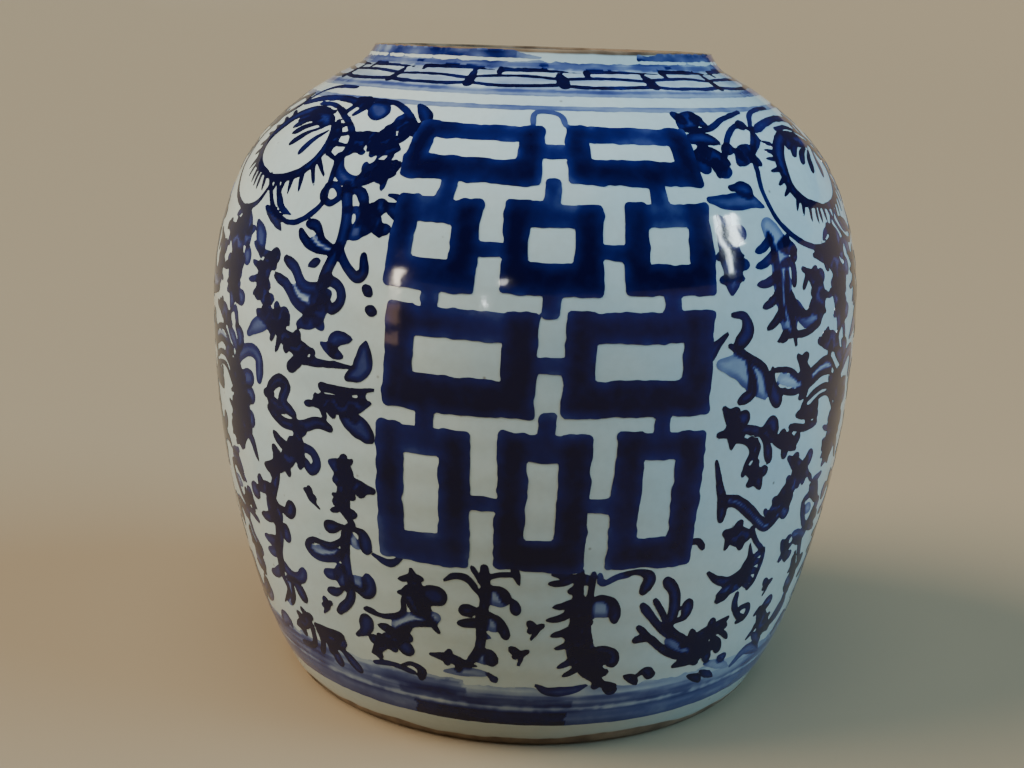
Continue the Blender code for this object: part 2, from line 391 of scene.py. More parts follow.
class Paint:
    """One layer of brushwork over the whole outside, as two fields on the grid.

    `inside` is how many mm a grid point lies within the painted edge, and `clear` is how much of the
    glaze shows through the paint there.
    """

    def __init__(self, wet=False):
        self.inside = np.full((ROWS, COLUMNS), FAR)
        self.clear = np.ones((ROWS, COLUMNS))
        self.wet = wet

    def window(self, angle_low, angle_high, walk_low, walk_high):
        """Grid rows, columns and unwrapped angles of a stretch of surface."""
        rows = np.arange(max(0, int(walk_low / ROW_STEP)), min(ROWS, int(walk_high / ROW_STEP) + 2))
        columns = np.arange(math.floor(angle_low / COLUMN_STEP), math.ceil(angle_high / COLUMN_STEP) + 1)
        return rows, columns % COLUMNS, columns * COLUMN_STEP

    def lay(self, rows, columns, depth, tone, hollow=0.0):
        """Lay one brush mark. `depth` is the distance inside its edge, and `hollow` thins its middle."""
        where = np.ix_(rows, columns)
        soft = smoothstep(-0.75, 1.3 if self.wet else -0.05, depth)
        pooled = tone * (1 + EDGE_DARKER * np.exp(-np.abs(depth - 0.4) / EDGE_FALLOFF))
        pooled = pooled - hollow * smoothstep(0.8, 2.2, depth) * (0.75 + 0.5 * POOLS[where])
        cover = np.clip(pooled, 0, THICKEST) * soft
        if self.wet:
            self.clear[where] = np.minimum(self.clear[where], 1 - cover)
        else:
            self.clear[where] *= 1 - cover
        self.inside[where] = np.maximum(self.inside[where], depth)

    def settle(self, times):
        """Let wet cobalt run evenly together inside the painted edge."""
        painted = (self.inside > 0) * 1.0
        for axis in (0, 1) * times:
            value = self.clear * painted
            total = value + np.roll(value, 1, axis) + np.roll(value, -1, axis)
            count = painted + np.roll(painted, 1, axis) + np.roll(painted, -1, axis)
            self.clear = np.where(painted > 0, total / np.maximum(count, 1), self.clear)

    def stroke(self, points, width, shape, tone):
        """Draw along a smooth curve through (angle, walk) points, `width` mm wide where it is widest."""
        angle, walk = curve_through(points).T
        steps = np.hypot(arc_mm(np.diff(angle), walk[1:]), np.diff(walk))
        travel = np.concatenate(([0.0], np.cumsum(steps)))
        swell = np.interp(travel / max(travel[-1], 0.01), *zip(*SHAPES[shape]))
        half = np.maximum(width * swell, 0.5) / 2
        reach = half.max() + 2.0
        middle = (angle.min() + angle.max()) / 2
        wide = math.degrees(reach / path_radius(walk).min())
        rows, columns, angles = self.window(
            angle.min() - wide, angle.max() + wide, walk.min() - reach, walk.max() + reach
        )
        x = np.radians(angles - middle)[None, :] * GRID_RADIUS[rows][:, None]
        y = GRID_WALK[rows][:, None] + 0 * x
        own_x, own_y = arc_mm(angle - middle, walk), walk
        depth = np.full(x.shape, FAR)
        for n in range(len(angle) - 1):
            i0, i1 = np.searchsorted(y[:, 0], (min(walk[n:n + 2]) - reach, max(walk[n:n + 2]) + reach))
            lowest, highest = min(angle[n:n + 2]) - wide, max(angle[n:n + 2]) + wide
            j0, j1 = np.searchsorted(angles, (lowest, highest))
            px, py = x[i0:i1, j0:j1] - own_x[n], y[i0:i1, j0:j1] - own_y[n]
            dx, dy = own_x[n + 1] - own_x[n], own_y[n + 1] - own_y[n]
            t = np.clip((px * dx + py * dy) / max(dx * dx + dy * dy, 1e-9), 0, 1)
            near = half[n] * (1 - t) + half[n + 1] * t - np.hypot(px - t * dx, py - t * dy)
            depth[i0:i1, j0:j1] = np.maximum(depth[i0:i1, j0:j1], near)
        where = np.ix_(rows, columns)
        depth = depth + STROKE_ROUGH * EDGE_NOISE[where]
        self.lay(rows, columns, depth, tone + STROKE_STREAK * POOLS[where], STROKE_HOLLOW)

    def bar(self, start, end, width, tone):
        """A straight square-ended brush bar from one (angle, walk) to another."""
        middle_angle, middle_walk = (start[0] + end[0]) / 2, (start[1] + end[1]) / 2
        length_x, length_y = arc_mm(end[0] - start[0], middle_walk), end[1] - start[1]
        length = math.hypot(length_x, length_y)
        reach = width / 2 + 2
        wide = math.degrees(reach / path_radius(middle_walk)) + 1
        rows, columns, angles = self.window(
            min(start[0], end[0]) - wide, max(start[0], end[0]) + wide,
            min(start[1], end[1]) - reach, max(start[1], end[1]) + reach,
        )
        x = np.radians(angles - middle_angle)[None, :] * GRID_RADIUS[rows][:, None]
        y = GRID_WALK[rows][:, None] - middle_walk + 0 * x
        along = np.abs((x * length_x + y * length_y) / length) - length / 2 + BAR_ROUNDING
        across = np.abs((y * length_x - x * length_y) / length) - width / 2 + BAR_ROUNDING
        outside = np.hypot(np.maximum(along, 0), np.maximum(across, 0))
        depth = BAR_ROUNDING - outside - np.minimum(np.maximum(along, across), 0)
        where = np.ix_(rows, columns)
        depth = depth + BAR_ROUGH * EDGE_NOISE[where]
        streaks = FLAT_STREAKS if abs(length_x) > abs(length_y) else TALL_STREAKS
        self.lay(rows, columns, depth, tone + BAR_STREAK * (streaks + POOLS)[where] / 2)

    def band(self, low, high, tone, rough=0.5, streak=0.2, start=0.0, end=360.0, dip=(0, 1, 0)):
        """A band painted round the jar on the wheel, or part of one.

        Its upper edge may dip: `dip` is the middle and half width of the dip in degrees, and its depth.
        """
        rows, columns, angles = self.window(start, end - COLUMN_STEP, low - 2, high + 2)
        y = GRID_WALK[rows][:, None] + 0 * angles[None, :]
        where = np.ix_(rows, columns)
        away = np.abs((angles - dip[0] + 180) % 360 - 180) / dip[1]
        top = high - dip[2] * np.maximum(0, 1 - away)[None, :]
        depth = np.minimum(y - low, top - y) + rough * EDGE_NOISE[where]
        if end - start < 359:
            x = angles[None, :] + 0 * y
            ends = np.minimum(x - start, end - x) * 1.8
            depth = np.minimum(depth, ends + 2.5 * FLAT_STREAKS[where])
        self.lay(rows, columns, depth, tone + streak * (FLAT_STREAKS + POOLS)[where] / 2)


CORNER, ACROSS, UPRIGHT = 0, ROWS * COLUMNS, 2 * ROWS * COLUMNS
# For each pattern of painted corners of a grid cell, the polygons that cover its painted part. Corners
# a, b, c, d go round from the lower left, and ab is the crossing on the side between a and b.
CELL_POLYGONS = {
    1: ["a ab da"], 2: ["b bc ab"], 3: ["a b bc da"], 4: ["c cd bc"], 5: ["a ab da", "c cd bc"],
    6: ["ab b c cd"], 7: ["a b c cd da"], 8: ["d da cd"], 9: ["a ab cd d"], 10: ["b bc ab", "d da cd"],
    11: ["a b bc cd d"], 12: ["bc c d da"], 13: ["a ab bc c d"], 14: ["ab b c d da"], 15: ["a b c d"],
}


def painted_piece(name, layer, lift, material, angle_range=(0, 360), walk_range=(0, LIP_WALK)):
    """A thin closed shell of paint over one stretch of the jar, cut out along the layer's painted edge."""
    first, last = (int(round(a / COLUMN_STEP)) for a in angle_range)
    columns = np.arange(first, last)
    rows = np.arange(max(0, int(walk_range[0] / ROW_STEP)), min(ROWS - 1, int(walk_range[1] / ROW_STEP)))
    j, i = np.meshgrid(columns % COLUMNS, rows)
    k = (j + 1) % COLUMNS
    painted = layer.inside > 0
    pattern = painted[i, j] + 2 * painted[i, k] + 4 * painted[i + 1, k] + 8 * painted[i + 1, j]
    ids = {
        "a": i * COLUMNS + j, "b": i * COLUMNS + k, "c": (i + 1) * COLUMNS + k, "d": (i + 1) * COLUMNS + j,
        "ab": ACROSS + i * COLUMNS + j, "cd": ACROSS + (i + 1) * COLUMNS + j,
        "da": UPRIGHT + i * COLUMNS + j, "bc": UPRIGHT + i * COLUMNS + k,
    }
    polygons = []
    for code, shapes in CELL_POLYGONS.items():
        chosen = pattern == code
        if chosen.any():
            polygons += [np.stack([ids[c][chosen] for c in shape.split()], 1) for shape in shapes]
    used, flat = np.unique(np.concatenate([p.ravel() for p in polygons]), return_inverse=True)
    kind, cell = used // ACROSS, used % ACROSS
    row, column = cell // COLUMNS, cell % COLUMNS
    row_to = row + (kind == 2)
    column_to = np.where(kind == 1, (column + 1) % COLUMNS, column)
    here, there = layer.inside[row, column], layer.inside[row_to, column_to]
    gap = np.where(kind == 0, 1.0, here - there)
    share = np.where(kind == 0, 0.0, np.clip(here / np.where(gap == 0, 1.0, gap), 0.08, 0.92))
    angle = (column + share * (kind == 1)) * COLUMN_STEP
    walk = (row + share * (kind == 2)) * ROW_STEP
    density = 1 - np.where(here > 0, layer.clear[row, column], layer.clear[row_to, column_to])

    # Top faces, the same faces turned over underneath, and walls wherever a top edge has no neighbour.
    tops, at = [], 0
    for p in polygons:
        tops.append(flat[at:at + p.size].reshape(p.shape))
        at += p.size
    edges = np.concatenate([np.stack([t, np.roll(t, -1, 1)], 2).reshape(-1, 2) for t in tops])
    count = len(used)
    forward, backward = edges[:, 0] * count + edges[:, 1], edges[:, 1] * count + edges[:, 0]
    rim = edges[~np.isin(forward, backward)]
    walls = np.stack([rim[:, 1], rim[:, 0], rim[:, 0] + count, rim[:, 1] + count], 1)
    faces = [face for t in tops for face in t.tolist()]
    faces += [face for t in tops for face in (t[:, ::-1] + count).tolist()]
    faces += walls.tolist()
    points = np.concatenate([surface(angle, walk, lift), surface(angle, walk, -PAINT_DEPTH)])
    mesh = bpy.data.meshes.new(name)
    mesh.from_pydata(points.tolist(), [], faces)
    mesh.shade_smooth()
    normal = surface_normal(angle, walk)
    mesh.normals_split_custom_set_from_vertices(np.concatenate([normal, normal]).tolist())
    attribute = mesh.attributes.new("cobalt", "FLOAT", "POINT")
    attribute.data.foreach_set("value", np.concatenate([density, density]).astype(np.float32))
    return link(name, mesh, material)


# ------------------------------------------------------------------------------------------ brushwork


# A loaded brush swells every mark a little.
FULLER = 1.15


class Brush:
    """Draws on a layer in a panel's own angles, turned to its place and never quite the same."""

    def __init__(self, layer, turn=0.0, seed=1, unsteady=0.0):
        self.layer, self.turn, self.unsteady = layer, turn, unsteady
        self.random = np.random.default_rng(seed)

    def put(self, points):
        """Panel points as points of the jar."""
        points = np.array(points, dtype=float)
        drift = self.random.uniform(-1, 1, 2) * self.unsteady
        own = self.random.uniform(-1, 1, points.shape) * self.unsteady * 0.35
        return points + (self.turn, 0) + (drift + own) * (0.5, 1.0)

    def line(self, points, width, shape, tone=0.9):
        """One stroke, `width` mm wide, of one of the SHAPES."""
        self.layer.stroke(self.put(points), width * FULLER, shape, tone)

    def even(self, width, *points, tone=0.9):
        """A stroke of one width."""
        self.line(points, width, "even", tone)

    def leaf(self, width, *points, tone=0.9):
        """A stroke that swells in its middle."""
        self.line(points, width, "leaf", tone)

    def tail(self, width, *points, tone=0.9):
        """A stroke that starts broad and tapers off."""
        self.line(points, width, "tail", tone)

    def drop(self, width, *points, tone=0.9):
        """A stroke that starts thin and ends broad and round."""
        self.line(points, width, "drop", tone)

    def finger(self, width, *points, tone=0.9):
        """A stroke that tapers only at its tip."""
        self.line(points, width, "finger", tone)

    def twig(self, stem, tip, width, shape, tone):
        """A short stroke that leaves a stem and curves out to its tip."""
        curve = curve_through(stem)
        gaps = np.hypot(arc_mm(curve[:, 0] - tip[0], tip[1]), curve[:, 1] - tip[1])
        nearest = int(gaps.argmin())
        root = curve[max(0, nearest - int(gaps[nearest] * 0.45))]
        bow = root * 0.45 + np.array(tip) * 0.55 + (curve[nearest] - root) * 0.25
        self.line([root, bow, tip], width, shape, tone=tone)

    def frond(self, stem, fingers=(), lobes=(), width=3.0, finger=2.0, lobe=4.6, tone=0.88):
        """A curved stem with pointed fingers and rounded lobes, each given by its tip."""
        self.line(stem, width, "leaf", tone=tone)
        for tip in fingers:
            self.twig(stem, tip, finger, "finger", tone)
        for tip in lobes:
            self.twig(stem, tip, lobe, "drop", tone)
        if width > 3.8:
            self.nubs(stem, width, tone)

    def nubs(self, stem, width, tone):
        """Short rounded teeth along both edges of a broad leaf."""
        curve = curve_through(stem, 1.0)
        for at in range(3, len(curve) - 2, 4):
            run = curve[at + 1] - curve[at - 1]
            run = np.array((arc_mm(run[0], curve[at][1]), run[1]))
            run /= np.linalg.norm(run)
            side = 1 if at % 8 == 3 else -1
            swell = float(np.interp(at / len(curve), *zip(*SHAPES["leaf"])))
            reach = width * swell / 2 + self.random.uniform(0.6, 1.7)
            tip = np.array((-run[1], run[0])) * side * reach + run * self.random.uniform(0.4, 1.6)
            tip[0] = math.degrees(tip[0] / path_radius(curve[at][1]))
            self.even(self.random.uniform(2.4, 3.4), curve[at] + tip * 0.25, curve[at] + tip, tone=tone)

    def vine(self, points, width, outline):
        """A vine drawn as two dark edges with a paler wash between."""
        self.line(points, width, "even", tone=0.5)
        curve = curve_through(points, 4.0)
        across = np.gradient(curve, axis=0)
        across = np.stack([-across[:, 1], arc_mm(across[:, 0], curve[:, 1])], 1)
        across /= np.linalg.norm(across, axis=1, keepdims=True)
        across[:, 0] = np.degrees(across[:, 0] / path_radius(curve[:, 1]))
        for side in (-0.5, 0.5):
            self.line(curve + across * (side * width), outline, "even", tone=0.85)

    def comb(self, spine, side, count, length, width, lean):
        """A row of short tapering hairs on one side of a spine (+1 is left of its direction)."""
        curve = curve_through(spine, 1.0)
        for n in range(count):
            at = int((n + 0.5) / count * (len(curve) - 2)) + 1
            run = curve[at] - curve[at - 1]
            run = np.array((arc_mm(run[0], curve[at][1]), run[1]))
            run /= np.linalg.norm(run)
            out = np.array((-run[1], run[0])) * side
            reach = length * (0.75 + 0.25 * math.sin(math.pi * (n + 0.5) / count))
            tip = out * reach + run * reach * lean
            tip[0] = math.degrees(tip[0] / path_radius(curve[at][1]))
            self.tail(width, curve[at], curve[at] + tip * 0.5, curve[at] + tip)


# The middle of each of the three panels, in degrees, and the flowers between them, as (angle, walk).
PANELS = (0.0, 120.0, 240.0)
FLOWERS = ((62, 188), (183.5, 190.5), (305.5, 193))
# A gap in the scroll is filled where this many mm each way are bare. A flower keeps its reach clear.
GAP = 4.0
GAP_TRIES = 4200
FLOWER_REACH = 34.0


def paint_bands(wash, lines):
    """The bands turned round the foot and shoulder, the key fret, and the wash on the neck."""
    wash.band(11.4, 18.4, 0.56, rough=0.3)
    wash.band(17.8, 21.0, 0.15, rough=0.2)
    wash.band(11.8, 17.4, 0.80, rough=0.5, start=339, end=369)
    wash.band(19.8, 24.6, 0.30, rough=0.25, streak=0.3)
    wash.band(20.6, 28.4, 0.32, rough=1.1, streak=0.4)
    wash.band(20.4, 23.0, 0.42, rough=0.5, streak=0.3, start=336, end=370)
    wash.band(24.0, 30.0, 0.34, rough=1.3, streak=0.4, start=235, end=350)
    wash.band(212.6, 214.8, 0.42, rough=0.3)
    wash.band(219.4, 222.4, 0.36, rough=0.3, streak=0.2)
    wash.band(221.4, 236.8, 0.24, rough=0.5, streak=0.3)
    wash.band(234.2, 236.6, 0.30, rough=0.6, streak=0.3)
    for lap in range(15):
        brush = Brush(lines, turn=lap * 24.0 + 5.5, seed=40 + lap, unsteady=0.6)
        brush.line([(0, 224.6), (0.2, 227), (0.5, 229.8)], 2.9, "tail", tone=0.93)
        brush.line([(0.4, 224.8), (6, 224.1), (12, 224.0), (18, 224.2), (24, 225)], 1.7, "even", tone=0.88)
        brush.line([(1.2, 229.0), (7, 229.6), (15, 229.6), (23, 228.6)], 1.4, "even", tone=0.86)
        brush.line([(23.4, 225.4), (23.8, 228.4), (23.6, 231.4)], 2.2, "even", tone=0.9)
        brush.line([(6.6, 233.2), (8, 233.6), (18, 233.6), (29, 233.0)], 1.7, "tail", tone=0.88)
        brush.line([(6.6, 233.4), (6.8, 231.6)], 1.8, "even", tone=0.88)
    for start in range(0, 360, 40):
        brush = Brush(lines, turn=start, seed=start, unsteady=0.4)
        brush.line([(0, 235.6), (20, 235.2), (41, 235.7)], 1.1, "even", tone=0.5)
    wash.band(238.0, LIP_WALK - 1.0, 0.50, rough=0.35, streak=0.4, dip=(15, 24, 6.4))
    for start, end, tone in ((30, 110, 0.34), (118, 205, 0.25), (230, 352, 0.32)):
        wash.band(238.4, LIP_WALK - 1.8, tone, rough=0.8, streak=0.5, start=start, end=end)


# The lattice: rows of hollow frames laid like bricks, two and three to a row. Each row has its lowest and
# highest walk, and each frame its left and right angle, its bar width in mm and its tone.
FRAME_ROWS = (
    ((185.6, 206.0), ((-24.4, 0.6, 6.6, 1.0), (4.6, 29.2, 6.8, 0.97))),
    ((154.0, 180.0), ((-23.4, -8.8, 7.4, 0.90), (-5.4, 10.2, 7.6, 0.99), (13.4, 28.6, 7.4, 0.94))),
    ((119.6, 149.4), ((-22.6, 0.6, 9.2, 0.97), (4.4, 27.8, 9.2, 1.0))),
    ((72.0, 114.6), ((-24.0, -8.8, 8.6, 0.84), (-5.0, 9.2, 8.8, 1.0), (12.6, 27.4, 8.6, 0.93))),
)
# Short links between the rows, and between neighbours in a row, as (angle, walk).
LINKS = (
    (-15.6, 151.6), (2.4, 151.6), (20.8, 151.6), (-15.8, 117), (2.4, 117), (20, 117), (-15, 183), (2.4, 183),
    (20, 183),
)
SIDE_LINKS = ((2.6, 196), (-7, 166), (11.8, 166), (2.5, 134.4), (-6.9, 92.6), (10.9, 92.6))


def paint_frame(layer, left, right, low, high, bar, tone):
    """One hollow frame: two upright bars and two level ones, each a little out of true."""
    half = math.degrees(bar / 2 / path_radius((low + high) / 2))
    layer.bar((left + half, low), (left + half + 0.4, high + 0.6), bar, tone)
    layer.bar((right - half - 0.2, low - 0.8), (right - half, high), bar + 0.8, tone + 0.04)
    layer.bar((left + 0.2, low + bar / 2 + 0.8), (right - 0.3, low + bar / 2), bar + 1.6, tone + 0.02)
    layer.bar((left + 0.6, high - bar / 2 + 0.4), (right - 0.2, high - bar / 2 - 0.4), bar - 0.4, tone - 0.10)


def paint_lattice(layer, turn):
    """A plain window lattice: rows of hollow frames joined by short links."""
    for (low, high), frames in FRAME_ROWS:
        for left, right, bar, tone in frames:
            paint_frame(layer, turn + left, turn + right, low, high, bar, tone)
    for angle, walk in LINKS:
        layer.bar((turn + angle, walk - 4), (turn + angle + 0.2, walk + 4), 5.0, 0.88)
    for angle, walk in SIDE_LINKS:
        layer.bar((turn + angle - 3, walk + 0.3), (turn + angle + 3, walk), 4.6, 0.86)
    brush = Brush(layer, turn=turn, seed=7)
    brush.line([(-1.4, 206), (-1.2, 211.2), (1.4, 212), (4.2, 210.4), (5, 206)], 1.5, "even", tone=0.9)


def fill_gaps(layer, flowers, seed):
    """Small curled leaves in the wide gaps that the scroll leaves, away from lattices and flowers."""
    random = np.random.default_rng(seed)
    brush = Brush(layer, seed=seed)
    for angle, walk in zip(random.uniform(0, 360, GAP_TRIES), random.uniform(38, 206, GAP_TRIES)):
        from_panel = (angle + 60) % 120 - 60
        near_flower = min(math.hypot(arc_mm((angle - a + 180) % 360 - 180, w), walk - w) for a, w in flowers)
        if (-29 < from_panel < 33 and walk > 66) or near_flower < FLOWER_REACH:
            continue
        rows, columns, _ = layer.window(angle - GAP / 1.8, angle + GAP / 1.8, walk - GAP, walk + GAP)
        if layer.inside[np.ix_(rows, columns)].max() > -0.4:
            continue
        side, lean = random.choice((-1, 1)), random.uniform(-1.4, 1.4)
        brush.drop(2.6, (angle - lean, walk - 3), (angle + side * 0.9, walk), (angle + lean, walk + 3.2))
        brush.finger(2.2, (angle, walk), (angle + side * 2.2, walk + 2.4))


def paint_flower(brush, centre):
    """A lotus seen from the side: a pale heart in a dark ring, hairs round it, and wide pale petals."""
    def at(*points):
        return [(centre[0] + angle, centre[1] + walk) for angle, walk in points]

    def draw(shape, width, *points, tone=0.86):
        brush.line(at(*points), width, shape, tone)

    # The heart's ring, heavy on its left, and the dark leaf that hangs into it from above.
    draw("leaf", 4.6, (6, 13), (-2, 13.5), (-8, 9), (-11.3, 2), (-11.3, -5), (-8, -10), (-2, -12), tone=0.93)
    draw("leaf", 3, (-4, -11.8), (2, -12.4), (7, -10.4), (10.4, -6), (11.6, 0), (10, 7), (6, 12), tone=0.9)
    draw("leaf", 6, (-2, 12.5), (4, 10.5), (9, 9), tone=0.88)
    for root, tip in (
        ((2, 11), (-4.6, 9)), ((3, 9.5), (-4.2, 5.5)), ((5, 8), (-2.4, 3)), ((6.5, 7), (0, -0.5)),
        ((9, 6), (5, -3)),
    ):
        middle = ((root[0] + tip[0]) / 2 - 0.3, (root[1] + tip[1]) / 2 + 0.8)
        draw("drop", 2.6, root, middle, tip, tone=0.9)
    # Hairs outside the ring on both sides.
    left_side = at((-9.5, 12), (-11.8, 6), (-12.4, -1), (-10.6, -8), (-5.5, -12.6), (-1, -13.6))
    brush.comb(left_side, -1, 12, 5.0, 1.6, 0.25)
    right_side = at((10.4, 10), (12.4, 4), (12.8, -2), (10.6, -8), (5.5, -11.6), (2, -12))
    brush.comb(right_side, 1, 10, 6.5, 1.7, 0.25)
    draw("leaf", 4.2, (9.5, 10), (12.4, 3), (13, -3), tone=0.9)
    # Outer petals, and the smaller ones that fold over behind them.
    draw(
        "even", 1.6, (-14, 15), (-18, 7), (-20, -3), (-19, -12), (-16, -18), (-12, -22), (-7, -24), (-2, -22),
        (0.6, -16),
    )
    draw(
        "even", 1.6, (-0.5, -12), (1.5, -17), (4.5, -22), (8.5, -25), (11.5, -25), (14.5, -22), (16.6, -18),
        (17, -12),
    )
    draw("even", 1.8, (17, -12), (16.6, -5), (17.2, 0), (16.5, 5), (13.5, 9.5), (9.5, 13), (5.5, 16))
    draw("even", 1.7, (-28, 1), (-26, 7), (-22, 14.5), (-17.5, 18.5), (-14, 17.5), (-13.6, 13), (-17.5, 8))
    brush.frond(at((-23, 4), (-20, 7.5), (-17, 9.5)), at((-21.8, 8.5), (-20, 10.8)), width=5.6, finger=2.6)
    draw("even", 2.4, (-12, 16), (-6, 18.5), (1, 20), (8, 19.5), (14, 17), tone=0.82)
    draw("even", 1.6, (-13, 17), (-9, 22.5), (-4, 25), (4, 25.5), tone=0.8)
    draw("even", 1.6, (-3, 16), (3, 16.4), (9, 14), tone=0.8)
    draw("even", 2.2, (9.5, 13.5), (12.2, 20.5), (14.5, 17.5), (12.6, 13.4))
    draw("leaf", 2.6, (3, -13), (4.5, -17), (7, -21), (10, -22.5), tone=0.8)
    for point in ((-16, 18.6), (-25, 9)):
        draw("even", 3.4, point, (point[0] + 1.6, point[1] + 0.8), tone=0.9)


def paint_right_scroll(brush):
    """Lotus scroll on the right of a panel, from the shoulder down to the foot band."""
    even, leaf, tail, drop = brush.even, brush.leaf, brush.tail, brush.drop
    frond, vine = brush.frond, brush.vine
    # Under the shoulder and beside the lattice.
    frond([(29.5, 206), (31.5, 208.5), (34.6, 212)], [(35.8, 209.5)], width=6.5)
    even(1.7, (30, 205), (36, 205.5), (42, 209.5), (50, 212.5))
    leaf(5, (29, 201), (33, 202), (36.5, 200))
    frond([(29.6, 195.6), (32.6, 195), (36.4, 192.4)], [(33, 198.6)], [(30.4, 190.6)], width=6.6, tone=0.93)
    frond([(33, 188.5), (35, 189.5), (36, 191)], [(32.6, 192.6)], width=3.4)
    drop(4.6, (34.5, 184.5), (37, 184), (38.4, 183), tone=0.94)
    leaf(5, (29.5, 181), (33, 180), (38, 180), (41, 178), tone=0.8)
    leaf(3, (30.4, 176), (31.6, 174), (33, 176), tone=0.8)
    # The stem below the flower, with fingers on its left.
    even(6.8, (41, 172), (42.6, 166), (42.2, 157), (42.8, 149), (44, 141), tone=0.5)
    frond(
        [(40.6, 170), (41.4, 160), (41.4, 150), (42.4, 144)],
        [(37.2, 165), (36.8, 160.4), (36.8, 155.4), (37.6, 148.6), (38.6, 142.2)], width=2.4, finger=2.6,
    )
    even(1.8, (43.6, 158), (43.2, 150), (44.5, 142.5), (45.5, 136))
    frond([(42.6, 166), (44.6, 165.6), (47, 164)], width=4.4)
    even(2.2, (43, 160.5), (45.4, 160.5), (45.2, 154))
    drop(3.4, (41, 138), (43, 139.5))
    even(2, (44.4, 151.5), (45.6, 146.5), (48.4, 144.8), (50.6, 149))
    even(4.2, (45, 148), (48, 143), (51.4, 143), tone=0.62)
    frond(
        [(49.4, 157), (51.8, 153), (52.6, 147), (52.4, 141.5)], [(47.8, 158.4), (47.6, 152.2), (54.4, 144)],
        [(53.6, 155.4)], width=6.8,
    )
    even(2.2, (44.4, 139.4), (48, 139), (52.4, 141))
    frond(
        [(56, 161), (60.4, 156), (60, 148), (60.6, 141), (60, 136.5)], [(54.9, 148.6), (56.4, 150)],
        [(63.2, 151), (62.4, 143)], width=9, tone=0.84,
    )
    frond([(52.2, 161.6), (57, 160.6), (60.4, 164.6), (63, 161)], [(53.4, 163.6), (57, 158)], width=4.6)
    frond([(53.6, 134.6), (57, 134), (60.8, 131)], [(52.2, 135.6), (54.2, 137.6)], width=6.2, finger=2.4)
    # Beside the middle of the lattice.
    frond(
        [(30.6, 172), (32, 163), (31.4, 153.6)], [(34.4, 164), (34, 157.4)], [(34.8, 171)], width=7.4,
        tone=0.86,
    )
    frond([(30.6, 120), (32.8, 114), (32.6, 107)], [(30, 112)], [(35, 116.4)], width=4.6, tone=0.9)
    drop(4.8, (31.4, 147.4), (33.6, 146.6), (34.2, 142), (32.6, 138.6), tone=0.94)
    leaf(8, (29.4, 133.4), (33.6, 131.6), (36.6, 127), (38.8, 121.6), tone=0.45)
    even(2, (31, 138.4), (35, 134.2), (38.4, 130), (39.6, 123))
    drop(4, (30.4, 142), (28, 138), (26.6, 134.6), tone=0.9)
    drop(3.4, (34.6, 133), (35.8, 127), (35.6, 123.4), (33.6, 121.6))
    drop(4.6, (40, 130), (40.4, 124), (42, 119), tone=0.94)
    even(3.2, (42, 126.4), (48, 124), (54, 126.6), (58, 126), tone=0.3)
    even(1.6, (40.6, 129.4), (44, 128.6), (46.4, 126))
    even(1.7, (49.4, 125.6), (53, 128.2), (57, 128.4), (61, 122))
    even(1.8, (42, 122.8), (46, 121.2), (50, 122.2), (54, 124.4), (58, 124.2))
    frond(
        [(46.2, 132.4), (48, 129), (49, 123), (49.2, 117.6)], [(49.8, 127.6), (46.8, 125.6)], width=4.2,
        tone=0.94,
    )
    even(1.8, (50, 117.4), (53, 119.6), (57, 119.6), (61.4, 114))
    even(1.4, (51, 115), (54.6, 117.2), (58, 116.4), (61, 111))
    frond([(47.4, 113.6), (50.6, 113.4), (53.6, 112), (53.4, 109.6)], width=4.6, tone=0.94)
    frond(
        [(58, 122), (61.4, 118), (63.8, 111), (62, 104), (61, 98), (63, 92)],
        [(61.8, 124), (64, 124.6), (57.4, 106), (58, 101), (58.6, 95)], [(66, 110), (66.6, 102)], width=8,
        tone=0.82,
    )
    even(2.6, (30, 112), (35, 112.6), (39, 110.6), (43, 107), (47, 106), tone=0.84)
    drop(4.2, (38.6, 111.4), (40.8, 113.4), (41.8, 110))
    frond([(42, 107), (45.6, 105.6), (48.2, 102.4)], [(46.4, 110), (45.2, 103)], width=5.2)
    even(2.2, (45.8, 110.4), (50, 108.6), (54, 108.8))
    even(1.7, (32, 110), (35.6, 108.6), (37, 105), (35.8, 100.6))
    even(1.4, (36.4, 109.6), (38.4, 106.6), (38, 102.6))
    even(3.4, (37.4, 108), (37.6, 104), tone=0.3)
    drop(3.4, (38.6, 110), (40.2, 106.6), (41.2, 101.4))
    frond(
        [(36, 100), (38.4, 97.6), (40, 92.6)], [(35.6, 97.8), (36.8, 94.2)], [(40.6, 98.4)], width=4.6,
        lobe=3.4,
    )
    even(2.6, (38.4, 97), (38.8, 94.6), tone=0.2)
    frond(
        [(46.6, 100), (49, 97), (51.6, 93.6), (55, 91)], [(56, 88.6), (50, 92)], [(53.6, 98.6)], width=4.8,
        tone=0.85,
    )
    frond(
        [(52, 93.4), (48.6, 89.6), (46, 85), (43, 80.6)], [(46.8, 90.6), (45.4, 88.4), (42.2, 84.6)],
        [(49, 85), (48.6, 80.6)], width=6.6, tone=0.84,
    )
    drop(3.4, (30, 104), (31, 97), (32, 91), (32.4, 84.6), tone=0.86)
    vine([(31.6, 91), (35, 89.8), (38, 86), (41, 81.4), (43.6, 78.6), (46.4, 81.6)], 2.8, 1.2)
    frond([(34, 79.6), (37, 77.6), (40, 77)], [(33.6, 80.2), (34.4, 73.8)], width=6, tone=0.93)
    even(2, (29.6, 76), (28.6, 78.6), (27, 78.8), tone=0.85)
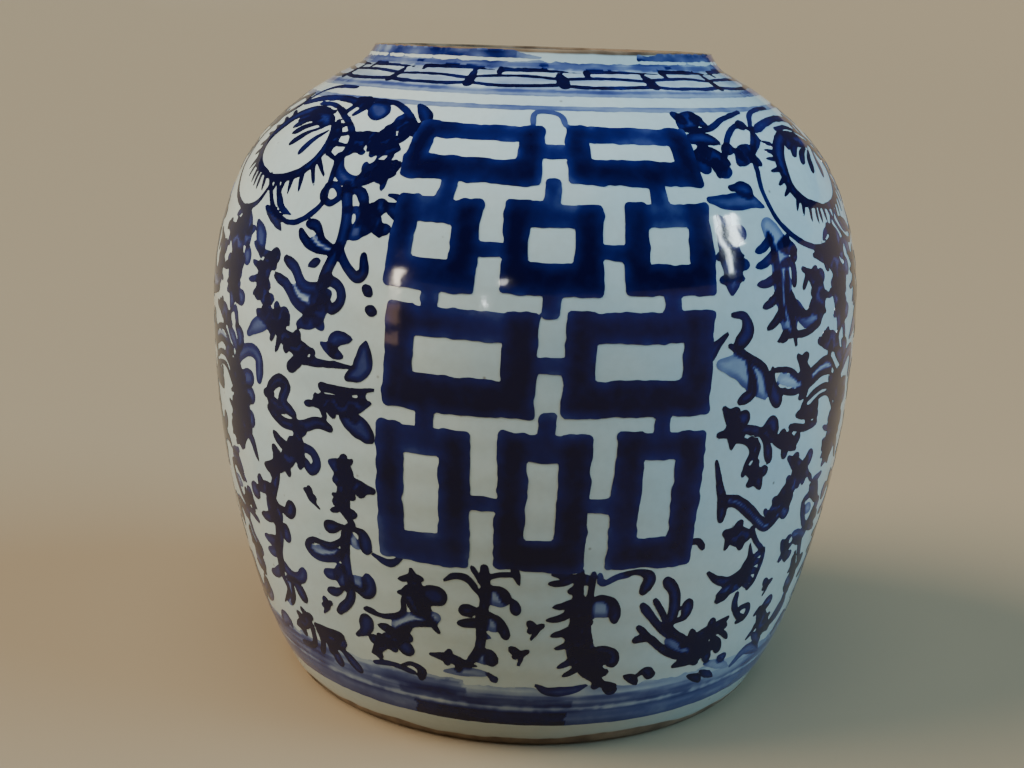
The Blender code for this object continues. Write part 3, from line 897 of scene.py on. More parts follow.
    # Below the lattice's right corner, down to the foot band.
    even(1.8, (39.8, 79.6), (41.4, 74.6), (44, 70))
    leaf(6.4, (35.4, 57.6), (38, 59.6), (40.4, 63), (41, 69), tone=0.8)
    frond(
        [(31.8, 66.8), (34, 63.6), (36.6, 62), (39.4, 63.4), (41, 68), (40.2, 74)],
        [(44.6, 69.6), (44.4, 66), (44.2, 62), (43.6, 58.6), (42.6, 57)], width=3.4, finger=2.2,
    )
    even(1.6, (44.4, 70.4), (44.6, 66), (44, 60), (42.6, 56.6))
    drop(3, (38.4, 61), (37.4, 57), (35.2, 55.6))
    even(2.2, (40, 56), (40.2, 51.6), (42, 47), (44.2, 44.6))
    even(2, (42, 49.6), (44.4, 49.4), (44.6, 45.6), (42.4, 44.2))
    even(3.4, (23.8, 66.4), (25.6, 62), (26.2, 56), (26, 50))
    drop(3.8, (26.6, 50.6), (28.8, 52.4), (28.8, 57.6))
    even(2.4, (20, 58.8), (22, 54), (24.4, 49), (26.4, 46))
    even(1.8, (22.2, 60), (24, 55), (25.4, 50))
    even(2.2, (20, 50.6), (23, 45), (27, 39), (31.6, 35))
    tail(2.6, (20, 46), (22.6, 45.8), (25, 42.6))
    even(2.4, (25, 50), (28, 45.4), (31, 42), (35, 42))
    leaf(6.6, (26.4, 44), (30, 40), (34, 36.6), tone=0.62)
    frond(
        [(30, 41), (33.6, 42.6), (37, 44.6), (39.4, 47.4)],
        [(31, 46.4), (34.8, 46.4), (41, 38.6), (39.6, 43.6)], [(39.4, 34.6), (37.2, 31.6), (34.4, 33)],
        width=5.6, lobe=3.4,
    )
    frond([(29.2, 33), (32.4, 34.4), (36, 37), (38, 40)], [(33.4, 32)], width=5.4, tone=0.93)
    drop(3.4, (40.4, 31.4), (42.2, 30), tone=0.8)
    leaf(3, (33.4, 27), (36, 24.8), (37.6, 22))
    leaf(2.6, (36.4, 27.4), (39.6, 24.2), (41, 22.6))
    leaf(3.4, (37, 30.4), (41, 28), (45, 24.6), tone=0.45)
    # Further round.
    even(2.4, (54.6, 81.6), (55.8, 76.6), (58.6, 71.4), (64.4, 67.6), tone=0.84)
    even(2.4, (55, 82.6), (58, 83), (60.6, 79.6), tone=0.84)
    leaf(2.2, (56, 87), (59, 86), (61.4, 81.4), tone=0.82)
    leaf(3.8, (56, 79), (59, 77), tone=0.5)
    frond([(59, 72), (62.6, 73.4), (64.8, 71)], [], [(62.4, 78)], width=4, tone=0.84)
    frond([(50, 70), (52, 66.4), (53.6, 61)], [(54.6, 67.6)], width=4.4)
    even(2.4, (54.6, 68), (58, 66), (60, 60), (62, 56), tone=0.82)
    frond(
        [(57.6, 62), (59.4, 55), (61.4, 50), (59.6, 44)], [(57, 60), (57, 55), (57.4, 49)], [(62.6, 57)],
        width=3.2, tone=0.82,
    )
    frond(
        [(49, 45.6), (50.6, 42), (53, 37.6), (57, 32.6)], [(47.8, 43.6), (48, 34)],
        [(52.2, 47.4), (60, 42)], width=5.6, tone=0.8,
    )
    leaf(4.4, (46, 24.6), (49, 28.6), (52, 28), (57, 23.6), tone=0.7)
    leaf(3.6, (50, 35), (53, 31.6), (55, 27.6), tone=0.75)


def paint_centre_scroll(brush):
    """Scroll under the lattice."""
    even, leaf, tail, drop, finger = brush.even, brush.leaf, brush.tail, brush.drop, brush.finger
    frond = brush.frond
    # Palm-shaped leaf on the left.
    frond(
        [(-18.6, 68.4), (-18, 62), (-17.4, 54)], [(-20.9, 64.4), (-21.4, 59.6), (-14.4, 47)], [(-14, 60.4)],
        width=4.2, lobe=6.4, tone=0.94,
    )
    even(6.6, (-18.8, 60), (-17.4, 55), tone=0.9)
    even(4.4, (-22.4, 47), (-19, 50.6), (-15, 52.6), tone=0.45)
    even(1.7, (-28.4, 50.6), (-24.4, 49.6), (-21, 52.4), (-20.4, 58))
    even(1.7, (-22, 45.6), (-18.6, 49), (-15, 50))
    frond(
        [(-20, 47), (-22, 43), (-25, 40), (-28.6, 33.6)], [(-26.6, 42)], [(-20.8, 37.6)], width=4.6,
        tone=0.94,
    )
    leaf(3.2, (-26, 45.6), (-23, 45), tone=0.94)
    drop(2.8, (-22.4, 31.6), (-20.4, 33), (-18.6, 31), (-19, 27.6), tone=0.94)
    even(1.8, (-28.6, 30), (-24.4, 31), (-20, 29.4), tone=0.85)
    leaf(2.4, (-25.4, 71.4), (-22.4, 69.4), (-19.6, 72.8))
    # Stem under the left column.
    even(2.6, (-6.4, 72), (-6.2, 64), (-6.6, 57), (-7, 50), (-7.4, 43), (-9.6, 36))
    leaf(2.4, (-13, 66.4), (-11.2, 68.4), (-9, 67.6), (-7, 62), tone=0.94)
    even(1.6, (-8.4, 72), (-7.4, 68.6), (-6.6, 66))
    even(1.6, (-6, 68.6), (-4, 70), (-1, 70.4))
    tail(2.4, (-1.6, 72), (-0.8, 67), tone=0.92)
    even(5.4, (-6.2, 63), (-3.4, 61.6), tone=0.5)
    drop(2.8, (-5.8, 65.6), (-3.6, 64.6), (-2.6, 61))
    drop(3, (-3, 62), (-1.6, 60.4), (-1.2, 57))
    even(5.2, (-6.6, 54.6), (-4.4, 52), tone=0.5)
    drop(3.2, (-5.8, 55.6), (-4, 54.2), (-2.8, 48))
    tail(2.2, (-7.2, 48.4), (-5.4, 47.4), tone=0.6)
    drop(3.6, (-7, 42), (-5.6, 41.6), (-5.2, 37.6))
    even(4, (-8, 40), (-6, 39), tone=0.5)
    drop(4, (-7, 57), (-10, 56.6))
    finger(3, (-6.8, 52.6), (-10.8, 51.6))
    frond(
        [(-16.4, 38.4), (-13, 38), (-10, 36.4), (-8, 36)], [(-12.8, 41), (-11.4, 33.6), (-13.4, 35.4)],
        width=3.6, finger=2.4, tone=0.94,
    )
    leaf(3.4, (-14, 32.4), (-9, 33.4), (-5.6, 33), tone=0.4)
    drop(2.6, (-5.8, 33.4), (-4.6, 30.6), tone=0.8)
    # Stem under the right column, with a row of fingers.
    frond(
        [(9, 72), (8.8, 62), (9.2, 52), (10.6, 42), (13.4, 33), (16.6, 26.6)],
        [(4, 67.6), (4.8, 59.4), (4, 54.6), (4.9, 49), (5.6, 44), (6.4, 37), (7.4, 33.4)], width=4.4,
        finger=2.2,
    )
    leaf(5.4, (8.4, 54), (8.8, 46), (10.6, 38), (14, 30), tone=0.85)
    even(1.7, (11, 71), (10.8, 62), (11, 51), (12.4, 42), (15, 33.4))
    even(1.6, (4.6, 70.8), (7.4, 70), (9, 66))
    even(1.9, (12, 70.4), (12.6, 67.4), (15, 69.4), (17, 70), tone=0.7)
    drop(3.8, (16.4, 70.6), (19, 70.4), (20.6, 68), (19.8, 63.4))
    even(6, (10.6, 59), (14, 58.6), tone=0.55)
    drop(3.4, (10.8, 61.4), (12.8, 62.6), (14.8, 60), (15.4, 54))
    drop(4.6, (11.4, 41.4), (13.4, 43.4), (15.4, 41.4), (16.2, 37.6), tone=0.94)
    even(4.4, (12, 39), (14.6, 40), tone=0.85)
    leaf(3.4, (2.8, 29.6), (5, 27.2), (9, 27.4), (12, 29.4), tone=0.8)
    drop(3.6, (14, 31), (16, 28.6), (17.2, 26))
    leaf(3.2, (19, 32), (20.6, 30.6), (22, 27.6), tone=0.94)
    drop(3.4, (21, 30.4), (23, 33), (24.6, 30.4), tone=0.94)


def paint_left_scroll(brush):
    """Lotus scroll on the left of a panel."""
    even, leaf, tail, drop, finger = brush.even, brush.leaf, brush.tail, brush.drop, brush.finger
    frond = brush.frond
    # Under the shoulder and beside the lattice.
    even(1.8, (-45, 213.6), (-40, 213.4), (-34, 213), (-29.4, 210), (-25, 204))
    drop(6.4, (-41, 211), (-37.4, 210), (-34.6, 207.4), tone=0.84)
    leaf(3.8, (-27, 212.6), (-24.4, 209), (-22, 203))
    frond([(-31, 202), (-27, 203.6), (-22.6, 200)], [(-28.4, 198.6), (-26.6, 197)], width=5)
    frond([(-38, 198), (-36, 196.6), (-34.4, 192.6)], [(-33, 192)], width=5.6)
    even(3.4, (-38.2, 190), (-36.2, 185), (-33, 182.6), (-29, 184.4), tone=0.84)
    frond(
        [(-31.6, 183), (-28.6, 187), (-25, 186)],
        [(-29.6, 190.4), (-26.8, 192.6), (-24.6, 190), (-26.6, 181)], width=6, tone=0.88,
    )
    frond(
        [(-34, 199), (-30, 195.4), (-26, 194.4)], [(-32.4, 193), (-29.4, 191)], [(-30, 200.6)], width=6.6,
        tone=0.9,
    )
    frond([(-29.6, 176), (-27, 172.6), (-25, 167.4)], [(-29.4, 170)], [(-25.6, 176.4)], width=4.8, tone=0.9)
    leaf(4.4, (-25, 176.6), (-22, 174), (-20, 171.6))
    leaf(1.8, (-25, 179.6), (-23, 179), (-21.4, 176))
    even(1.9, (-38, 180.6), (-36, 180.8), (-34.4, 178), (-36, 175.4), (-38.2, 177), (-38, 180))
    # The first stem, with lobes on its right and hooks on its left.
    even(3.4, (-33.6, 181), (-32, 173), (-31.8, 166), (-33.2, 158), (-34.6, 151))
    drop(3.4, (-33.4, 180), (-30.4, 179.6), (-29, 176.4))
    drop(4.8, (-32.2, 174), (-29.8, 174), (-28.6, 170), (-30, 167), tone=0.82)
    drop(3, (-33.2, 163), (-35.6, 164.6), (-37.6, 168), (-39.6, 168.4))
    drop(2.8, (-33.4, 160.6), (-37, 161.4), (-39.8, 164), (-41, 166))
    even(3, (-34, 161.6), (-38, 163.6), tone=0.35)
    leaf(2.6, (-37.6, 156.4), (-35.4, 158.4))
    even(2.8, (-32.2, 163), (-30.4, 158.6), (-28, 155), (-26.8, 157), (-27.2, 161.4))
    even(3.2, (-43, 157), (-40.6, 155), (-38.4, 150.6), (-35, 150.4), (-33, 154))
    even(2.8, (-45, 151.6), (-42, 149.6), (-39.4, 145), (-36, 143))
    even(4.2, (-40.4, 148.4), (-37.6, 146), (-34.6, 148), tone=0.4)
    frond([(-38.6, 138.8), (-35.8, 141), (-34, 145), (-34.4, 149)], width=5.2)
    even(2.8, (-33.4, 153.6), (-30.8, 151.6), (-30.4, 147.6), (-32, 145), (-33.4, 148))
    leaf(3, (-26.4, 152.6), (-25, 150.6))
    leaf(3, (-25.6, 146.6), (-24, 145.6))
    # Combs further left.
    frond(
        [(-46, 158.6), (-48, 153), (-48.4, 147), (-45.4, 140)],
        [(-53, 159.6), (-52.2, 154), (-52.8, 148.4), (-51, 144.4)], [(-45.8, 157)], width=6, tone=0.84,
    )
    frond([(-49.4, 139.4), (-45, 138.6), (-42, 141), (-41, 138)], width=5)
    leaf(5, (-52.4, 131.6), (-49.6, 135), (-46.4, 137.4), (-43, 138), tone=0.72)
    frond(
        [(-44.4, 137), (-42, 134), (-38.6, 132), (-35.6, 131.8)],
        [(-45.6, 131.6), (-44.2, 128.8), (-39.4, 135), (-35.4, 131)], width=5.4, tone=0.93,
    )
    tail(2.6, (-40.6, 125), (-39, 128), (-34, 128.6), (-27.6, 129.2))
    even(3.6, (-40.6, 125.2), (-38.6, 128), tone=0.93)
    frond([(-33.6, 134.6), (-31.4, 132.6), (-29.4, 131.6)], width=3.6)
    leaf(4, (-31.6, 131.6), (-31, 136.4), (-28, 137.4))
    leaf(5.8, (-28.6, 125.8), (-26.2, 129), (-25.4, 137), tone=0.84)
    tail(2.6, (-33.6, 121.6), (-29, 121.6), (-24, 123.4))
    frond(
        [(-35.4, 116), (-32, 117), (-28, 117.4), (-24.6, 119.4)],
        [(-37.2, 115.4), (-35, 119), (-33, 111.6)], width=5.6,
    )
    leaf(6.4, (-29.6, 113.4), (-26.6, 111.6), (-24.4, 108), tone=0.86)
    # Ring hook and the stem under it.
    even(
        3.4, (-42.4, 111.4), (-45.6, 113.4), (-45.6, 117.4), (-43.2, 120.4), (-41.6, 119), (-42.6, 114),
        (-40, 110.8), tone=0.93,
    )
    finger(3, (-45.4, 115.4), (-47.4, 114.8), tone=0.93)
    even(3.2, (-46.2, 110.4), (-42.6, 107.4), (-38, 108), (-34.6, 110.4), (-32.2, 109.4), tone=0.93)
    frond(
        [(-39.6, 109), (-39.2, 102), (-41, 98), (-44.6, 92.6), (-48.8, 91.2)],
        [(-45.2, 103), (-45.8, 98.4)], width=5.6, finger=3.4, tone=0.93,
    )
    even(2.8, (-39, 101.6), (-36, 100.6), (-35.2, 97), (-36.6, 94.4), (-37.8, 97), tone=0.93)
    finger(3, (-38.6, 99), (-39.2, 94.2), tone=0.93)
    leaf(2.6, (-49, 90.6), (-46.4, 89.4))
    frond([(-32.2, 98.8), (-29.8, 97), (-29, 92)], [(-28, 101)], width=5.8)
    frond([(-24.4, 92.4), (-29, 92.6), (-30.2, 86), (-29, 80)], [(-32.4, 88.6), (-33, 83)], width=5)
    # Left flank.
    even(3.8, (-58, 118.6), (-56.2, 123), (-52, 126.6), (-49, 125), (-49.2, 118.4), tone=0.8)
    frond(
        [(-56.6, 120), (-55.4, 110), (-55.6, 101), (-60, 93)], [(-60.7, 110), (-60.6, 106), (-61.2, 100.6)],
        [(-51.8, 117.6), (-51.7, 112), (-52.2, 104)], width=8.6, tone=0.82, lobe=5.4,
    )
    leaf(3.2, (-56, 99.4), (-53, 97.4), (-51.2, 91), tone=0.84)
    leaf(4, (-61.2, 131), (-58.2, 127.6), (-56.4, 124), tone=0.84)
    leaf(4.6, (-57.2, 132), (-55.4, 129.6), (-55.8, 125), tone=0.84)
    drop(2.6, (-60.6, 134.6), (-57.6, 137.6), (-56.6, 133), tone=0.8)
    frond(
        [(-56, 153), (-58.6, 148), (-58, 141)], [(-62.2, 144.8), (-60.8, 148.6)], [(-54.8, 142)], width=6.4,
        tone=0.8,
    )
    frond(
        [(-60.4, 169), (-57.6, 164), (-55, 158)], [(-63.6, 166), (-62, 161)], [(-54.6, 154)], width=7,
        tone=0.8,
    )
    leaf(5, (-53.6, 166), (-51, 161), (-50, 156), tone=0.84)
    leaf(3.4, (-52.4, 171), (-49, 168.6), (-46, 165), tone=0.84)
    leaf(4.4, (-60, 90), (-63, 87), (-61, 83), (-58, 80), tone=0.75)
    # The long stem on the left, down to the foot band.
    even(3.4, (-45.4, 90), (-46.4, 86), (-48.4, 78), (-47.2, 70), (-49, 61), (-49.6, 54), tone=0.84)
    leaf(8, (-48.6, 80), (-47.4, 71), tone=0.82)
    frond([(-53, 80.6), (-50, 82.6), (-47, 84)], [], [(-54.4, 79)], width=4, lobe=5.6)
    frond(
        [(-48, 79), (-48, 70), (-49.2, 62), (-50, 52), (-49, 46), (-52.6, 39)],
        [(-53, 71.6), (-53.6, 63.4), (-53.4, 58.6), (-54.4, 49.4)], width=2.6, finger=3.4,
    )
    drop(4.4, (-46.6, 78), (-43.6, 77), (-42.4, 80.4))
    drop(4, (-47, 70), (-45.2, 71), (-45.6, 67))
    even(3.6, (-49.4, 57), (-46.6, 53.4), (-43.6, 54), (-42.2, 57))
    drop(4.6, (-48.4, 51), (-45.6, 50.4), (-44, 45.6))
    even(3.4, (-47.6, 50), (-48.6, 45), (-50, 41), tone=0.4)
    even(1.5, (-47, 49), (-47.6, 44.6), (-49, 41))
    frond([(-46, 40.8), (-45, 38), (-47, 34.6), (-49.8, 32)], width=4.8)
    even(2.2, (-49.4, 25.4), (-46, 26.4), (-44.4, 29.6), (-44, 36))
    even(2, (-43, 25.6), (-41.8, 30), (-42.2, 36))
    frond(
        [(-42.4, 36.6), (-39.6, 33), (-36.4, 33.4), (-35.4, 37)], [(-40, 27)], [(-38.2, 23.6), (-33, 24)],
        width=5.6, lobe=3.8,
    )
    even(3, (-42, 36), (-35.6, 36.4), tone=0.88)
    leaf(5, (-57.4, 27), (-54.4, 32), (-52.6, 29), tone=0.8)
    leaf(5, (-59, 46), (-61, 51), (-58, 56.6), tone=0.75)
    leaf(4, (-63, 60), (-61, 55), (-58.6, 50), tone=0.75)
    leaf(4.6, (-62, 34), (-59.6, 39), (-61, 44), tone=0.7)
    leaf(5, (-66, 70), (-62, 67), (-59.8, 70), tone=0.75)
    # The second stem.
    even(3, (-28.8, 80), (-30.4, 76), (-31, 68), (-31, 60), (-31.4, 53), (-34.6, 46.6))
    leaf(5.6, (-32.6, 64), (-32.2, 56), tone=0.86)
    drop(4.2, (-30.6, 78.6), (-34.2, 77))
    leaf(4.6, (-38.6, 67.8), (-35, 67), (-32, 70), tone=0.5)
    even(2, (-31, 74), (-34, 70.6), (-38, 70.8), (-39.8, 67.4), (-37.4, 64.8), (-33, 66.6), (-31, 71))
    drop(3.6, (-31.8, 64), (-34, 60.6), (-36, 59.8))
    drop(3, (-31.8, 57), (-34, 54.4), (-36.2, 53.4))
    drop(4, (-29.6, 79), (-27, 77.4), (-26.6, 72))
    even(3, (-30, 76.4), (-28.4, 73), tone=0.4)
    drop(4.2, (-30.8, 58.6), (-28, 56), (-26.8, 59), (-27, 62.6))
    even(4, (-30, 60), (-28, 60), tone=0.6)
    drop(4.8, (-31.4, 39.4), (-29.4, 42), (-28.4, 47))
    leaf(2, (-28, 51.4), (-25.6, 49.4))


# ------------------------------------------------------------------------------------------- materials


def principled(name):
    """A new node material and its Principled shader."""
    material = bpy.data.materials.new(name)
    material.use_nodes = True
    return material, material.node_tree.nodes["Principled BSDF"]


class Nodes:
    """Short ways to add and join nodes of one material."""

    def __init__(self, material):
        self.tree = material.node_tree
        self.place = self.add("ShaderNodeTexCoord").outputs["Object"]

    def add(self, kind, **values):
        node = self.tree.nodes.new(kind)
        for key, value in values.items():
            setattr(node, key, value)
        return node

    def join(self, source, target):
        self.tree.links.new(source, target)

    def noise(self, scale, detail):
        """Smooth noise, 0 to 1, over the object."""
        node = self.add("ShaderNodeTexNoise")
        node.inputs["Scale"].default_value = scale
        node.inputs["Detail"].default_value = detail
        self.join(self.place, node.inputs["Vector"])
        return node.outputs["Fac"]

    def specks(self, scale, size):
        """Round specks, 1 at their middle, in some of the cells of a random grid."""
        cells = self.add("ShaderNodeTexVoronoi")
        cells.inputs["Scale"].default_value = scale
        self.join(self.place, cells.inputs["Vector"])
        near = self.ramp(cells.outputs["Distance"], [(0.0, 1.0), (size, 0.0)])
        colour = self.add("ShaderNodeSeparateColor")
        self.join(cells.outputs["Color"], colour.inputs[0])
        some = self.ramp(colour.outputs[0], [(0.80, 0.0), (0.86, 1.0)])
        return self.math("MULTIPLY", near, some)

    def ramp(self, source, stops):
        """Map a value through (position, grey or colour) stops."""
        node = self.add("ShaderNodeValToRGB")
        elements = node.color_ramp.elements
        while len(elements) < len(stops):
            elements.new(0.5)
        for element, (position, colour) in zip(elements, stops):
            element.position = position
            element.color = (*colour, 1) if isinstance(colour, tuple) else (colour, colour, colour, 1)
        self.join(source, node.inputs["Fac"])
        return node.outputs["Color"]

    def math(self, operation, first, second):
        """Combine two values, each a number or another node's output."""
        node = self.add("ShaderNodeMath", operation=operation)
        for socket, value in zip(node.inputs, (first, second)):
            if isinstance(value, (int, float)):
                socket.default_value = value
            else:
                self.join(value, socket)
        return node.outputs[0]

    def mix(self, factor, first, second):
        """Mix two colours."""
        node = self.add("ShaderNodeMix", data_type="RGBA")
        inputs = [s for s in node.inputs if s.type == "RGBA"]
        self.join(factor, node.inputs[0])
        for socket, value in zip(inputs, (first, second)):
            if isinstance(value, tuple):
                socket.default_value = (*value, 1)
            else:
                self.join(value, socket)
        return [s for s in node.outputs if s.type == "RGBA"][0]

    def height(self):
        """Height above the surface the jar stands on, in metres."""
        node = self.add("ShaderNodeSeparateXYZ")
        self.join(self.place, node.inputs[0])
        return node.outputs["Z"]


GLAZE = (0.465, 0.555, 0.56)
GLAZE_BLUE = (0.365, 0.485, 0.545)
GLAZE_WARM = (0.54, 0.545, 0.46)
CLAY = (0.215, 0.155, 0.105)
# Dull grey of the painted shade on the lower part of the jar.
PAINTED_LOW_SHADE = (0.30, 0.31, 0.26)
HAZE = (0.30, 0.33, 0.33)
IRON_SPECK = (0.12, 0.095, 0.075)
BURNT_CLAY = (0.075, 0.05, 0.035)
# Cobalt from a pale wash to near black, as (how much paint lies there, colour).
COBALT = (
    (0.15, (0.13, 0.20, 0.36)), (0.5, (0.024, 0.045, 0.19)), (0.80, (0.0036, 0.0070, 0.085)),
    (0.98, (0.0014, 0.0016, 0.026)),
)


def glaze_colour(nodes):
    """Pale blue-grey glaze: cloudy, warmer in patches, with painted shade darkening it at the foot and fading
    out by about mid-height, and a few iron specks.
    """
    cloudy = nodes.ramp(nodes.noise(22, 4), [(0.3, 0.0), (0.7, 1.0)])
    warm = nodes.ramp(nodes.noise(9, 2), [(0.5, 0.0), (0.75, 1.0)])
    colour = nodes.mix(cloudy, GLAZE, GLAZE_BLUE)
    colour = nodes.mix(nodes.math("MULTIPLY", warm, 0.6), colour, GLAZE_WARM)
    uneven = nodes.math("MULTIPLY", nodes.noise(26, 3), 0.01)
    # Painted shade: the colour is mixed towards a dull grey, strongest at the foot and gone by about 130 mm
    # up.
    low = nodes.math("MULTIPLY", nodes.math("ADD", nodes.height(), uneven), 10)
    colour = nodes.mix(nodes.ramp(low, [(0.06, 0.62), (0.22, 0.28), (1.3, 0.0)]), colour, PAINTED_LOW_SHADE)
    fine = nodes.ramp(nodes.noise(420, 2), [(0.35, 0.0), (0.75, 0.16)])
    colour = nodes.mix(fine, colour, HAZE)
    return nodes.mix(nodes.specks(160, 0.11), colour, IRON_SPECK)


def glaze_skin(nodes, shader):
    """The gloss and fine unevenness that every glazed surface shares."""
    shader.inputs["Roughness"].default_value = 0.08
    shader.inputs["Specular IOR Level"].default_value = 0.30
    skin = nodes.math("ADD", nodes.noise(180, 2), nodes.math("MULTIPLY", nodes.noise(46, 1), 1.6))
    bump = nodes.add("ShaderNodeBump")
    bump.inputs["Strength"].default_value = 0.07
    bump.inputs["Distance"].default_value = 0.0006
    nodes.join(skin, bump.inputs["Height"])
    nodes.join(bump.outputs["Normal"], shader.inputs["Normal"])


def bare_clay_colour(nodes):
    """Fired clay burnt brown."""
    return nodes.mix(nodes.ramp(nodes.noise(120, 5), [(0.35, 0.0), (0.7, 1.0)]), CLAY, BURNT_CLAY)


def make_glaze():
    """Glaze all over."""
    material, shader = principled("celadon_white_glaze")
    nodes = Nodes(material)
    nodes.join(glaze_colour(nodes), shader.inputs["Base Color"])
    glaze_skin(nodes, shader)
    return material


def make_foot():
    """Bare burnt clay at the resting edge, under an uneven glaze line."""
    material, shader = principled("foot_clay_and_glaze")
    nodes = Nodes(material)
    line = nodes.math("ADD", nodes.height(), nodes.math("MULTIPLY", nodes.noise(30, 3), -0.0075))
    glazed = nodes.ramp(nodes.math("MULTIPLY", line, 100), [(0.0, 0.0), (0.06, 1.0)])
    colour = nodes.mix(glazed, bare_clay_colour(nodes), glaze_colour(nodes))
    nodes.join(colour, shader.inputs["Base Color"])
    nodes.join(nodes.ramp(glazed, [(0.0, 0.75), (1.0, 0.2)]), shader.inputs["Roughness"])
    return material


def make_lip():
    """Glaze with the lip's top wiped bare."""
    material, shader = principled("lip_glaze_and_clay")
    nodes = Nodes(material)
    above = nodes.math("SUBTRACT", nodes.height(), JAR_HEIGHT * MM - 0.0011)
    above = nodes.math("ADD", above, nodes.math("MULTIPLY", nodes.noise(60, 3), 0.0012))
    bare = nodes.ramp(nodes.math("MULTIPLY", above, 1000), [(0.35, 0.0), (0.9, 1.0)])
    nodes.join(nodes.mix(bare, glaze_colour(nodes), bare_clay_colour(nodes)), shader.inputs["Base Color"])
    glaze_skin(nodes, shader)
    return material


def make_cobalt():
    """Cobalt under the glaze: pale wash to near-black, by how much paint lies there."""
    material, shader = principled("cobalt_under_glaze")
    nodes = Nodes(material)
    density = nodes.add("ShaderNodeAttribute", attribute_name="cobalt").outputs["Fac"]
    grain = nodes.math("MULTIPLY", nodes.math("SUBTRACT", nodes.noise(260, 3), 0.5), 0.16)
    pool = nodes.math("MULTIPLY", nodes.math("SUBTRACT", nodes.noise(60, 3), 0.5), 0.16)
    density = nodes.math("ADD", density, nodes.math("ADD", grain, pool))
    cover = nodes.ramp(density, [(0.03, 0.0), (0.30, 0.62), (0.55, 0.92), (0.75, 1.0)])
    colour = nodes.mix(cover, glaze_colour(nodes), nodes.ramp(density, COBALT))
    nodes.join(colour, shader.inputs["Base Color"])
    glaze_skin(nodes, shader)
    return material


# --------------------------------------------------------------------------------- stage and camera


# The stage floor, in metres: flat out to STAGE_FLAT, then rising ever faster.
STAGE_SIDES = 96
STAGE_FLAT = 8.0
STAGE_RISE = 0.25
STAGE_RINGS = (2.0, 4.0, 8.0, 12.0, 18.0, 26.0, 36.0, 50.0, 70.0)
STAGE_COLOUR = (0.27, 0.205, 0.132, 1)
LIGHT_AIM = Vector((0, 0, 0.12))
SUN_SPREAD = math.radians(40)
WORLD_COLOUR, WORLD_STRENGTH = (1.0, 0.94, 0.86, 1), 0.07


def make_floor():
    """Plain pale floor that curves up a little in the far distance, so that no horizon shows."""
    mesh = bpy.data.meshes.new("floor")
    turns = [2 * math.pi * n / STAGE_SIDES for n in range(STAGE_SIDES)]
    points, faces = [(0, 0, 0)], []
    for reach in STAGE_RINGS:
        rise = STAGE_RISE * max(0, reach / STAGE_FLAT - 1) ** 2
        points += [(reach * math.cos(turn), reach * math.sin(turn), rise) for turn in turns]
    for n in range(STAGE_SIDES):
        near, far = n + 1, (n + 1) % STAGE_SIDES + 1
        faces.append((0, near, far))
        for ring in range(len(STAGE_RINGS) - 1):
            low = ring * STAGE_SIDES
            faces.append((near + low, near + low + STAGE_SIDES, far + low + STAGE_SIDES, far + low))
    mesh.from_pydata(points, [], faces)
    mesh.shade_smooth()
    floor = bpy.data.objects.new("floor", mesh)
    bpy.context.collection.objects.link(floor)
    material, shader = principled("pale_floor")
    shader.inputs["Base Color"].default_value = STAGE_COLOUR
    shader.inputs["Roughness"].default_value = 0.9
    mesh.materials.append(material)


def light_from(name, kind, azimuth, elevation, distance, power, colour):
    """A light that shines on the jar from one side. Azimuth 0 is the front, and 90 is the right."""
    turn, lift = math.radians(azimuth), math.radians(elevation)
    back = Vector((math.sin(turn) * math.cos(lift), -math.cos(turn) * math.cos(lift), math.sin(lift)))
    data = bpy.data.lights.new(name, kind)
    data.energy, data.color = power, colour
    light = bpy.data.objects.new(name, data)
    light.location = LIGHT_AIM + back * distance
    light.rotation_euler = back.to_track_quat("Z", "Y").to_euler()
    bpy.context.collection.objects.link(light)
    return light


def soft_sun(name, azimuth, elevation, strength, colour):
    """Broad soft light from one side that leaves no highlight of its own."""
    light = light_from(name, "SUN", azimuth, elevation, 0, strength, colour)
    light.data.angle = SUN_SPREAD
    light.visible_glossy = False


def window_light(name, azimuth, elevation, distance, size, power, colour):
    """A small bright window, (width, height) in metres, that shows only as a highlight."""
    light = light_from(name, "AREA", azimuth, elevation, distance, power, colour)
    light.data.shape, light.data.size, light.data.size_y = "RECTANGLE", *size
    light.visible_diffuse = False


def make_lights():
    """Pale room light, warmer from the left and cooler from the right, and small window lights."""
    world = bpy.data.worlds.new("room")
    bpy.context.scene.world = world
    world.use_nodes = True
    background = world.node_tree.nodes["Background"]
    background.inputs["Color"].default_value = WORLD_COLOUR
    background.inputs["Strength"].default_value = WORLD_STRENGTH
    soft_sun("left_fill", -86, 40, 5.0, (1.0, 0.88, 0.70))
    soft_sun("top_fill", -6, 76, 1.5, (0.78, 0.94, 1.0))
    soft_sun("right_fill", 82, 32, 3.2, (0.34, 0.71, 1.0))
    window_light("right_window_tall", 69, 22, 1.3, (0.035, 0.30), 2.4, (0.80, 0.96, 1.0))
    window_light("right_window_wide", 75, 24, 1.3, (0.10, 0.14), 3.0, (0.80, 0.96, 1.0))
    window_light("left_lamp", -46, 14, 1.6, (0.09, 0.26), 4.5, (1.0, 0.86, 0.66))
    window_light("left_wall", -46, 2, 1.5, (0.14, 0.30), 0.5, (1.0, 0.60, 0.34))
    window_light("far_window", -16, 9, 2.4, (0.05, 0.05), 0.7, (0.9, 0.97, 1.0))
    window_light("far_window_high", -10, 17, 2.4, (0.12, 0.12), 1.3, (1.0, 0.97, 0.9))


CAMERA_PLACE = (0.0, -0.4954, 0.2190)
CAMERA_YAW, CAMERA_PITCH, CAMERA_ROLL = -0.80, 13.78, 1.81
LENS, SENSOR = 50.07, 36.0


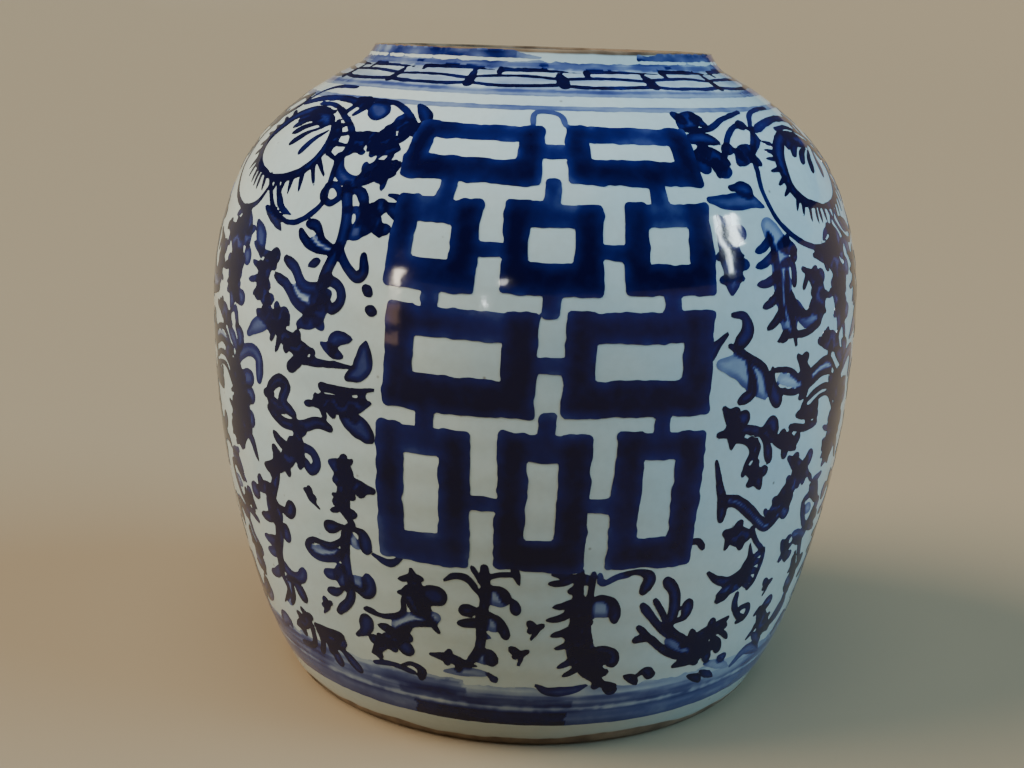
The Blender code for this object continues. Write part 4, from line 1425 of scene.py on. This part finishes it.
def make_camera():
    """The view of the photograph."""
    yaw, pitch, roll = (math.radians(a) for a in (CAMERA_YAW, CAMERA_PITCH, CAMERA_ROLL))
    forward = Vector((math.sin(yaw) * math.cos(pitch), math.cos(yaw) * math.cos(pitch), -math.sin(pitch)))
    right = Vector((math.cos(yaw), -math.sin(yaw), 0))
    up = right.cross(forward)
    across = math.cos(roll) * right + math.sin(roll) * up
    upward = -math.sin(roll) * right + math.cos(roll) * up
    data = bpy.data.cameras.new("camera")
    data.lens, data.sensor_width = LENS, SENSOR
    data.clip_start, data.clip_end = 0.01, 50
    camera = bpy.data.objects.new("camera", data)
    rotation = Matrix((across, upward, -forward)).transposed().to_4x4()
    camera.matrix_world = Matrix.Translation(CAMERA_PLACE) @ rotation
    bpy.context.collection.objects.link(camera)
    bpy.context.scene.camera = camera


# ----------------------------------------------------------------------------------------------- main


def paint_jar(cobalt):
    """All the painting, as thin pieces on the glaze."""
    wash, lines, lattice, scroll = Paint(), Paint(), Paint(wet=True), Paint()
    paint_bands(wash, lines)
    for panel, turn in enumerate(PANELS):
        paint_lattice(lattice, turn)
        unsteady = 1.0 if panel else 0.0
        paint_right_scroll(Brush(scroll, turn, 100 + panel, unsteady))
        paint_left_scroll(Brush(scroll, turn, 200 + panel, unsteady))
        paint_centre_scroll(Brush(scroll, turn, 300 + panel, unsteady))
        paint_flower(Brush(scroll, 0.0, 400 + panel, 0.3), FLOWERS[panel])
    lattice.settle(5)
    fill_gaps(scroll, FLOWERS, 500)
    painted_piece("painted_foot_band", wash, PAINT_LIFT, cobalt, walk_range=(6, 40))
    painted_piece("painted_shoulder_bands", wash, PAINT_LIFT, cobalt, walk_range=(200, 237))
    painted_piece("painted_neck_wash", wash, PAINT_LIFT, cobalt, walk_range=(237, LIP_WALK))
    over, top = PAINT_LIFT + LAYER_LIFT, PAINT_LIFT + 2 * LAYER_LIFT
    painted_piece("painted_key_fret", lines, over, cobalt, walk_range=(215, LIP_WALK))
    for turn, side in zip(PANELS, ("front", "right", "left")):
        painted_piece("painted_scroll_" + side, scroll, over, cobalt, (turn - 60, turn + 60))
        painted_piece("painted_lattice_" + side, lattice, top, cobalt, (turn - 45, turn + 45), (60, 216))


make_camera()
make_floor()
make_lights()
make_sections(make_glaze(), make_foot(), make_lip())
paint_jar(make_cobalt())
